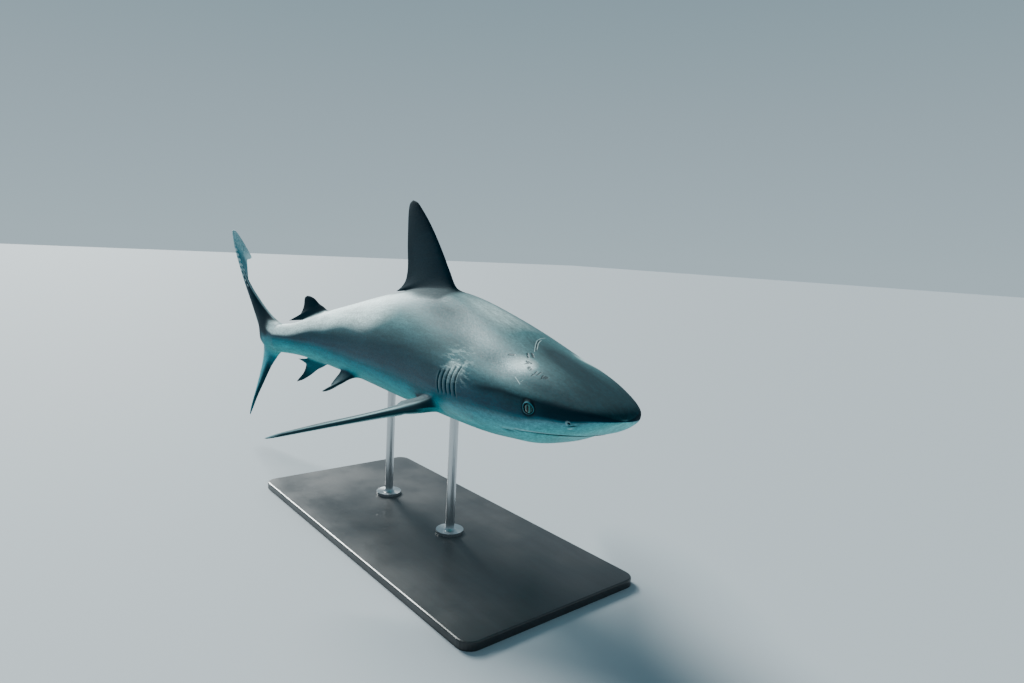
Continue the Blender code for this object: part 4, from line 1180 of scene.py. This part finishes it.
def larger(*values):
    return maths("MAXIMUM", *values)


def distance(first, second):
    return maths("SQRT", plus(times(first, first), times(second, second)))


def mapRange(value, fromLow, fromHigh, toLow=0.0, toHigh=1.0, shape="SMOOTHSTEP"):
    return node("MapRange", dict(enumerate((value, fromLow, fromHigh, toLow, toHigh))),
                interpolation_type=shape)


def mixColours(share, first, second):
    return node("Mix", {0: share, 6: first, 7: second}, 2, data_type="RGBA")


def attribute(name, output="Fac"):
    return node("Attribute", {}, output, attribute_name=name)


def vectorParts(vector):
    return node("SeparateXYZ", {0: vector}).node.outputs


def noise(vector, scale, detail=3.0, roughness=.55, stretch=(1, 1, 1), lean=0.0, distortion=0.0):
    # cloudy pattern; stretch divides the pattern's size along each direction
    vector = node("Mapping", {"Vector": vector, "Scale": stretch, "Rotation": (0, math.radians(lean), 0)})
    return node("TexNoise", {"Vector": vector, "Scale": scale, "Detail": detail,
                             "Roughness": roughness, "Distortion": distortion})


def ramp(value, stops):
    colours = node("ValToRGB", {0: value})
    elements = colours.node.color_ramp.elements
    while len(elements) < len(stops):
        elements.new(.5)
    for element, (position, colour) in zip(elements, stops):
        element.position = position
        element.color = (*colour, 1.0)
    return colours


def bump(height, strength, depth, after=None):
    sockets = {"Strength": strength, "Distance": depth, "Height": height}
    if after is not None:
        sockets["Normal"] = after
    return node("Bump", sockets)


sharkColours = {
    # coat: 0 is the middle of the back, .5 the edge of the grey, 1 the middle of the belly; the dark band
    # from .34 to .46 is the flank's own dark deepened by painted shade, and the blue-green cast of these
    # colours is a painted tint of the light
    "coat": [(0.0, (.060, .160, .170)), (.20, (.058, .158, .168)), (.27, (.036, .108, .122)),
             (.34, (.003, .044, .062)), (.46, (.0005, .038, .064)), (.53, (.002, .124, .168)),
             (.61, (.008, .265, .325)), (.78, (.030, .430, .465)), (.90, (.060, .500, .510)),
             (1.0, (.085, .520, .525))],
    # shade and light: painted shade and painted light, mixed in by lift; light also colours the tail's pale
    # streaks and dashes
    "shade": (.001, .018, .026), "light": (.84, 1.0, .97),
    # dusk: the fins' own dusk together with painted shade; hollow: painted shade in hollows and creases
    "duskAndShade": (.0002, .0085, .0155), "pale": (.56, .80, .81), "hollow": (.001, .004, .006),
    "scuff": (.50, .70, .68), "mark": (.001, .010, .014), "scratch": (.62, .80, .78),
}
# patterns on the skin: size, detail, roughness, stretch, lean
skinPatterns = {
    "waver": (14.0, 4.0, .6, (.45, 1, 1)), "clouds": (5.5, 4.0, .6, (.5, 1, 1.3)),
    "streaks": (90.0, 4.0, .65, (.10, 1, 1)), "grain": (620.0, 2.0, .7, (.32, 1, 1)),
    "speckle": (250.0, 2.0, .6, (.40, 1, 1)), "scuff": (150.0, 3.0, .6, (.22, 1, 1), 35),
    "fine": (240.0, 2.0, .6, (1, 1, .12), -38), "ragged": (420.0, 2.0, .6),
}
dashSpacing = .0175                     # along the tail's front edge
# old scars on the head: strokes through places (behind snout, to the right), in percent; half width in mm
scars = {
    "dark": [([(12.4, 2.1), (11.8, 2.35), (11.6, 2.4)], 2.0), ([(12.15, 1.8), (11.35, 2.05)], 2.0),
             ([(11.15, 2.8), (10.6, 2.9), (10.8, 3.1)], 1.8), ([(10.9, 2.75), (10.35, 2.7)], 1.8),
             ([(9.95, 3.15), (9.5, 3.2)], 3.2), ([(8.6, 3.55), (8.65, 3.25), (8.75, 3.05)], 1.8),
             ([(8.25, 3.2), (8.35, 2.85)], 1.8), ([(7.5, 3.2), (7.75, 2.95)], 1.8),
             ([(7.4, 2.95), (7.25, 2.9)], 3.5), ([(13.45, 3.35), (13, 3.1)], 2.2),
             ([(12.5, 1.2), (13.7, .4), (14.6, -.25)], 1.7)],
    "pale": [([(12.4, 1.4), (13.65, .65), (14.55, 0), (15.1, -.65), (15.55, -1.45)], .75),
             ([(10, 4.4), (8.8, 4.5)], .42), ([(8.85, 4.2), (8.95, 4.4)], .30),
             ([(9.8, 3), (9.6, 3.35)], .9), ([(12.7, 1), (13.95, .2), (14.7, -.55)], .65)],
}


def strokes(vector, marks):
    # 1 near any of the strokes: distance to each straight piece, from the share of it that is nearest
    along, right, height = vectorParts(vector)
    flatPlace = node("CombineXYZ", {0: along, 1: right})
    near = []
    for line, halfWidth in marks:
        width = halfWidth / 1000
        for start, end in zip(line[:-1], line[1:]):
            start, end = (Vector((*spot, 0)) * bodyLength / 100 for spot in (start, end))
            ahead = end - start
            offset = node("VectorMath", {0: flatPlace, 1: start}, operation="SUBTRACT")
            share = node("VectorMath", {0: offset, 1: ahead / ahead.length_squared}, "Value",
                         operation="DOT_PRODUCT")
            share = maths("MINIMUM", larger(share, 0.0), 1.0)
            back = node("VectorMath", {0: share, 1: -ahead, 2: offset}, operation="MULTIPLY_ADD")
            away = node("VectorMath", {0: back}, "Value", operation="LENGTH")
            near.append(mapRange(away, width * .5, width * 1.5, 1.0, 0.0))
    return times(reduce(larger, near), maths("GREATER_THAN", height, 0.0))


def sharkSkinMaterial():
    material, shader = newMaterial("sharkSkin", .50, Specular_IOR_Level=.20,
                                   Specular_Tint=(.32, .80, 1.0, 1.0))
    flowPlace = attribute("flow", "Vector")
    at = {name: attribute(name) for name in valueNames}
    made = {name: noise(flowPlace, *pattern) for name, pattern in skinPatterns.items()}
    linear = partial(mapRange, shape="LINEAR")
    # the edge between the grey and the belly's pale wavers, lift mixes in the painted light and painted
    # shade, and all of it is clouded along the body and finely speckled
    colour = ramp(plus(at["coat"], times(maths("SUBTRACT", made["waver"], .5), .05)), sharkColours["coat"])
    paintedShade = times(at["lift"], -1.0)
    for share, name in ((larger(at["lift"], 0.0), "light"), (larger(paintedShade, 0.0), "shade")):
        colour = mixColours(share, colour, sharkColours[name])
    shade = plus(times(made["clouds"], .55), times(made["streaks"], .45))
    shade = linear(shade, .36, .66, .64, 1.34)
    shade = times(shade, linear(made["grain"], .30, .72, .76, 1.24))
    shade = times(shade, linear(made["speckle"], .32, .70, .80, 1.20))
    colour = node("VectorMath", {0: colour, "Scale": shade}, operation="SCALE")
    # marks over it: dusky parts, which are partly painted shade, scuffs, pale rims and lines (among them
    # the painted highlights on the lip and the pectoral fins), the tail's streaks and its broken pale
    # dashes along the front edge, scars with ragged edges, and painted shade in the hollows
    scuffs = times(mapRange(made["scuff"], .50, .64), at["rough"], clamp=True)
    wave = maths("SINE", times(vectorParts(flowPlace)[2], 2 * math.pi / dashSpacing))
    ragged = mapRange(made["ragged"], .34, .46, .55, 1.0)
    darkMarks, paleMarks = (times(strokes(flowPlace, scars[name]), ragged) for name in ("dark", "pale"))
    for share, name in (
            (times(at["duskAndShade"], mapRange(made["clouds"], .3, .7, .85, 1.0), clamp=True), "duskAndShade"),
            (times(scuffs, .8), "scuff"), (times(at["pale"], .85, clamp=True), "pale"),
            (times(times(at["streaked"], mapRange(made["fine"], .50, .66)), .45, clamp=True), "light"),
            (times(times(at["dashed"], mapRange(wave, -.1, .35)), .95, clamp=True), "light"),
            (times(darkMarks, .95), "mark"), (times(paleMarks, .50), "scratch"),
            (times(at["hollow"], 1.0, clamp=True), "hollow")):
        colour = mixColours(share, colour, sharkColours[name])
    connect(colour, shader["Base Color"])
    # the painted shade, the dusky parts and the hollows' painted shade are duller
    dulled = larger(larger(paintedShade, times(at["duskAndShade"], .9)), at["hollow"])
    roughness = plus(mapRange(made["grain"], .3, .7, .42, .58), times(at["finness"], .04))
    connect(plus(roughness, times(dulled, .40), clamp=True), shader["Roughness"])
    normal = None
    for height, strength, depth in ((made["streaks"], .16, .0010), (made["grain"], .28, .0005),
                                    (made["speckle"], .14, .0010),
                                    (maths("SUBTRACT", scuffs, darkMarks), .5, .0010)):
        normal = bump(height, strength, depth, normal)
    connect(normal, shader["Normal"])
    return material


skinPiece.data.materials.append(sharkSkinMaterial())

# eyeballs: a closed ball with a slightly bulging front; its pattern follows its own directions
eyeball = {"rows": 40, "columns": 56, "crowding": 1.35, "bulge": .0009, "bulgeReach": 42,
           "iris": (.0062, .0082), "pupil": (.0026, .0058), "pupilShift": .0008, "forward": .0022,
           "flecks": [(.30, (.003, .026, .028)), (.50, (.009, .065, .065)), (.72, (.035, .150, .140))],
           # next: a painted reflection round the pupil, then the iris's rim, the pupil and the hidden back
           "pupilReflection": (.120, .420, .400), "rim": (.004, .012, .014), "dark": (.002, .003, .004),
           "behind": (.010, .014, .015)}


def buildEye(side, name):
    # ball = centre + radius * direction; rows crowd at the front; the front stands out by a bulge
    centre, outward, backward, upward = eyeDirections[side]
    rows, around = eyeball["rows"], eyeball["columns"]
    polar = (math.pi * (np.arange(1, rows) / rows)**eyeball["crowding"])[:, None]
    turn = np.arange(around) / around * 2 * math.pi
    radius = eyeRadius + eyeball["bulge"] * np.exp(-(np.degrees(polar) / eyeball["bulgeReach"])**4)
    sideways = np.cos(turn)[:, None] * backward + np.sin(turn)[:, None] * upward
    points = (centre + (radius * np.cos(polar))[..., None] * outward
              + (radius * np.sin(polar))[..., None] * sideways)
    look = np.stack([np.sin(polar) * np.cos(turn), np.sin(polar) * np.sin(turn),
                     np.cos(polar) + 0 * turn], axis=-1) * eyeRadius
    points = np.vstack([points.reshape(-1, 3), centre + outward * (eyeRadius + eyeball["bulge"]),
                        centre - outward * eyeRadius])
    look = np.vstack([look.reshape(-1, 3), (0, 0, eyeRadius), (0, 0, -eyeRadius)])
    numbers = np.arange((rows - 1) * around).reshape(rows - 1, around)
    following = np.roll(numbers, -1, axis=1)
    faces = np.stack([numbers[:-1], numbers[1:], following[1:], following[:-1]], axis=-1).reshape(-1, 4)
    front, back = (np.full(around, len(points) - fromEnd) for fromEnd in (2, 1))
    caps = np.concatenate([np.stack([numbers[0], following[0], front], axis=-1),
                           np.stack([following[-1], numbers[-1], back], axis=-1)])
    # turned the other way round on the side where the directions are mirrored
    if np.cross(backward, upward) @ outward <= 0:
        faces, caps = faces[:, ::-1], caps[:, ::-1]
    piece = addMesh(name, points, faces, caps)
    addAttribute(piece.data, "look", look)
    return piece


def eyeMaterial():
    material, shader = newMaterial("sharkEye", .22, Coat_Weight=.35, Coat_Roughness=.04,
                                   Coat_IOR=1.38, Specular_IOR_Level=.1)
    back, up, front = vectorParts(attribute("look", "Vector"))
    back = plus(back, eyeball["forward"])                    # the eye looks a little ahead
    radius = distance(back, up)
    pupilHalfWidth, pupilHalfHeight = eyeball["pupil"]
    pupil = distance(maths("DIVIDE", maths("SUBTRACT", back, eyeball["pupilShift"]), pupilHalfWidth),
                     maths("DIVIDE", up, pupilHalfHeight))
    # iris: flecked greenish grey, with a painted reflection round the pupil, strongest towards the front,
    # and a dark rim
    spokes = node("CombineXYZ", {0: times(maths("ARCTAN2", up, back), 4.0), 1: times(radius, 260.0)})
    flecks = noise(spokes, 1.6, 4.0, .6)
    pupilReflection = times(mapRange(pupil, 1.0, 1.9, .75, 0.0), mapRange(back, -.001, .002, 1.0, .15))
    colour = mixColours(pupilReflection, ramp(flecks, eyeball["flecks"]), eyeball["pupilReflection"])
    colour = mixColours(mapRange(radius, *eyeball["iris"]), colour, eyeball["rim"])
    colour = mixColours(mapRange(pupil, .85, 1.12), eyeball["dark"], colour)
    colour = mixColours(mapRange(front, .006, .010, 1.0, 0.0), colour, eyeball["behind"])
    connect(colour, shader["Base Color"])
    connect(bump(flecks, .15, .0003), shader["Normal"])
    return material


sharkEye = eyeMaterial()
for side, word in sides:
    eye = buildEye(side, f"eyeball_{word}")
    eye.data.materials.append(sharkEye)
    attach(eye, "root")
    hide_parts(f"eye_{word}")
print("eyes")

# the stand's finishes: satin black paint over wood, with faint grain and rubbed, cloudy gloss, and
# brushed steel, with fine scratches round the rods; fine and cloud are patterns as on the skin
standFinishes = {
    "standPaint": {"roughness": .36, "sockets": {"Coat_Weight": .25, "Coat_Roughness": .22},
                   "fine": (38.0, 5.0, .6, (.08, 1, 1), 0.0, .4), "cloud": (6.0, 4.0, .6),
                   "colourBy": "fine", "colours": [(.3, (.012, .012, .013)), (.7, (.022, .022, .024))],
                   "glossBy": "cloud", "gloss": (.30, .44), "bump": (.25, .0006)},
    "brushedSteel": {"roughness": .30, "sockets": {"Metallic": 1.0, "Anisotropic": .5},
                     "fine": (300.0, 3.0, .6, (.05, .05, 3)), "cloud": (20.0, 3.0, .6),
                     "colourBy": "cloud", "colours": [(.3, (.56, .57, .58)), (.7, (.61, .62, .63))],
                     "glossBy": "fine", "gloss": (.28, .34), "bump": (.12, .0003)},
}


def standMaterial(name):
    finish = standFinishes[name]
    material, shader = newMaterial(name, finish["roughness"], **finish["sockets"])
    objectPlace = node("TexCoord", {}, "Object")
    made = {pattern: noise(objectPlace, *finish[pattern]) for pattern in ("fine", "cloud")}
    connect(ramp(made[finish["colourBy"]], finish["colours"]), shader["Base Color"])
    connect(mapRange(made[finish["glossBy"]], .3, .7, *finish["gloss"]), shader["Roughness"])
    connect(bump(made["fine"], *finish["bump"]), shader["Normal"])
    return material


paint, steel = (standMaterial(name) for name in standFinishes)
for name in shown:
    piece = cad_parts[name]
    piece.data.materials.clear()
    piece.data.materials.append(paint if name == "stand_base" else steel)
print("stand")

# camera: on a ball round a point of the trunk, then turned by its own yaw, pitch and roll
camera = {"azimuth": 58.23, "elevation": 8.46, "distance": 1.763, "lens": 23.59,
          "yaw": -7.958, "pitch": -.744, "roll": 1.87, "trunk": 40.0}


def turned(first, second, angle):
    # both directions turned by an angle in their own plane
    return (first * math.cos(angle) + second * math.sin(angle),
            second * math.cos(angle) - first * math.sin(angle))


def aimCamera():
    azimuth, elevation, yaw, pitch, roll = (
        math.radians(camera[name]) for name in ("azimuth", "elevation", "yaw", "pitch", "roll"))
    forward = -np.array([math.sin(azimuth) * math.cos(elevation),
                         -math.cos(azimuth) * math.cos(elevation), math.sin(elevation)])
    where = place([camera["trunk"], 0.0, 0.0]) - forward * camera["distance"]
    right = unit(np.cross(forward, (0, 0, 1.0)))
    up = np.cross(right, forward)
    right, forward = turned(right, forward, yaw)
    up, forward = turned(up, forward, pitch)
    right, up = turned(right, up, roll)
    data = bpy.data.cameras.new("camera")
    data.lens, data.sensor_width = camera["lens"], 36
    item = addToScene("camera", data)
    matrix = np.eye(4)
    matrix[:3] = np.stack([right, up, -forward, where], axis=1)
    item.matrix_world = Matrix(matrix.tolist())
    bpy.context.scene.camera = item


aimCamera()

# floor and light: a soft sunlike lamp high behind the shark, and surroundings that are pale at the
# horizon and deeper overhead
studio = {"floorReach": 30.0, "floor": (.42, .46, .49), "lampFrom": (-.82, .04, .57), "lampAngle": 22,
          "lampColour": (.95, 1.0, .98), "lampPower": 7.5,
          "horizon": (.44, .56, .62), "zenith": (.16, .26, .32), "surroundLight": 1.0}


def buildStudio():
    reach = studio["floorReach"]
    mesh = bpy.data.meshes.new("floor")
    mesh.from_pydata([(-reach, -reach, 0), (reach, -reach, 0), (reach, reach, 0), (-reach, reach, 0)],
                     [], [(0, 1, 2, 3)])
    mesh.materials.append(newMaterial("floor", .8, Base_Color=(*studio["floor"], 1))[0])
    addToScene("floor", mesh)
    lamp = bpy.data.lights.new("key", "SUN")
    lamp.energy, lamp.angle = studio["lampPower"], math.radians(studio["lampAngle"])
    lamp.color = studio["lampColour"]
    item = addToScene("key", lamp)
    item.rotation_euler = Vector(studio["lampFrom"]).to_track_quat("Z", "Y").to_euler()
    world = bpy.data.worlds.new("studio")
    world.use_nodes = True
    making["tree"] = world.node_tree
    height = vectorParts(node("TexCoord", {}, "Generated"))[2]
    background = world.node_tree.nodes["Background"].inputs
    connect(ramp(height, [(0.0, studio["horizon"]), (.55, studio["zenith"])]), background[0])
    connect(studio["surroundLight"], background[1])
    bpy.context.scene.world = world


buildStudio()
print("studio")
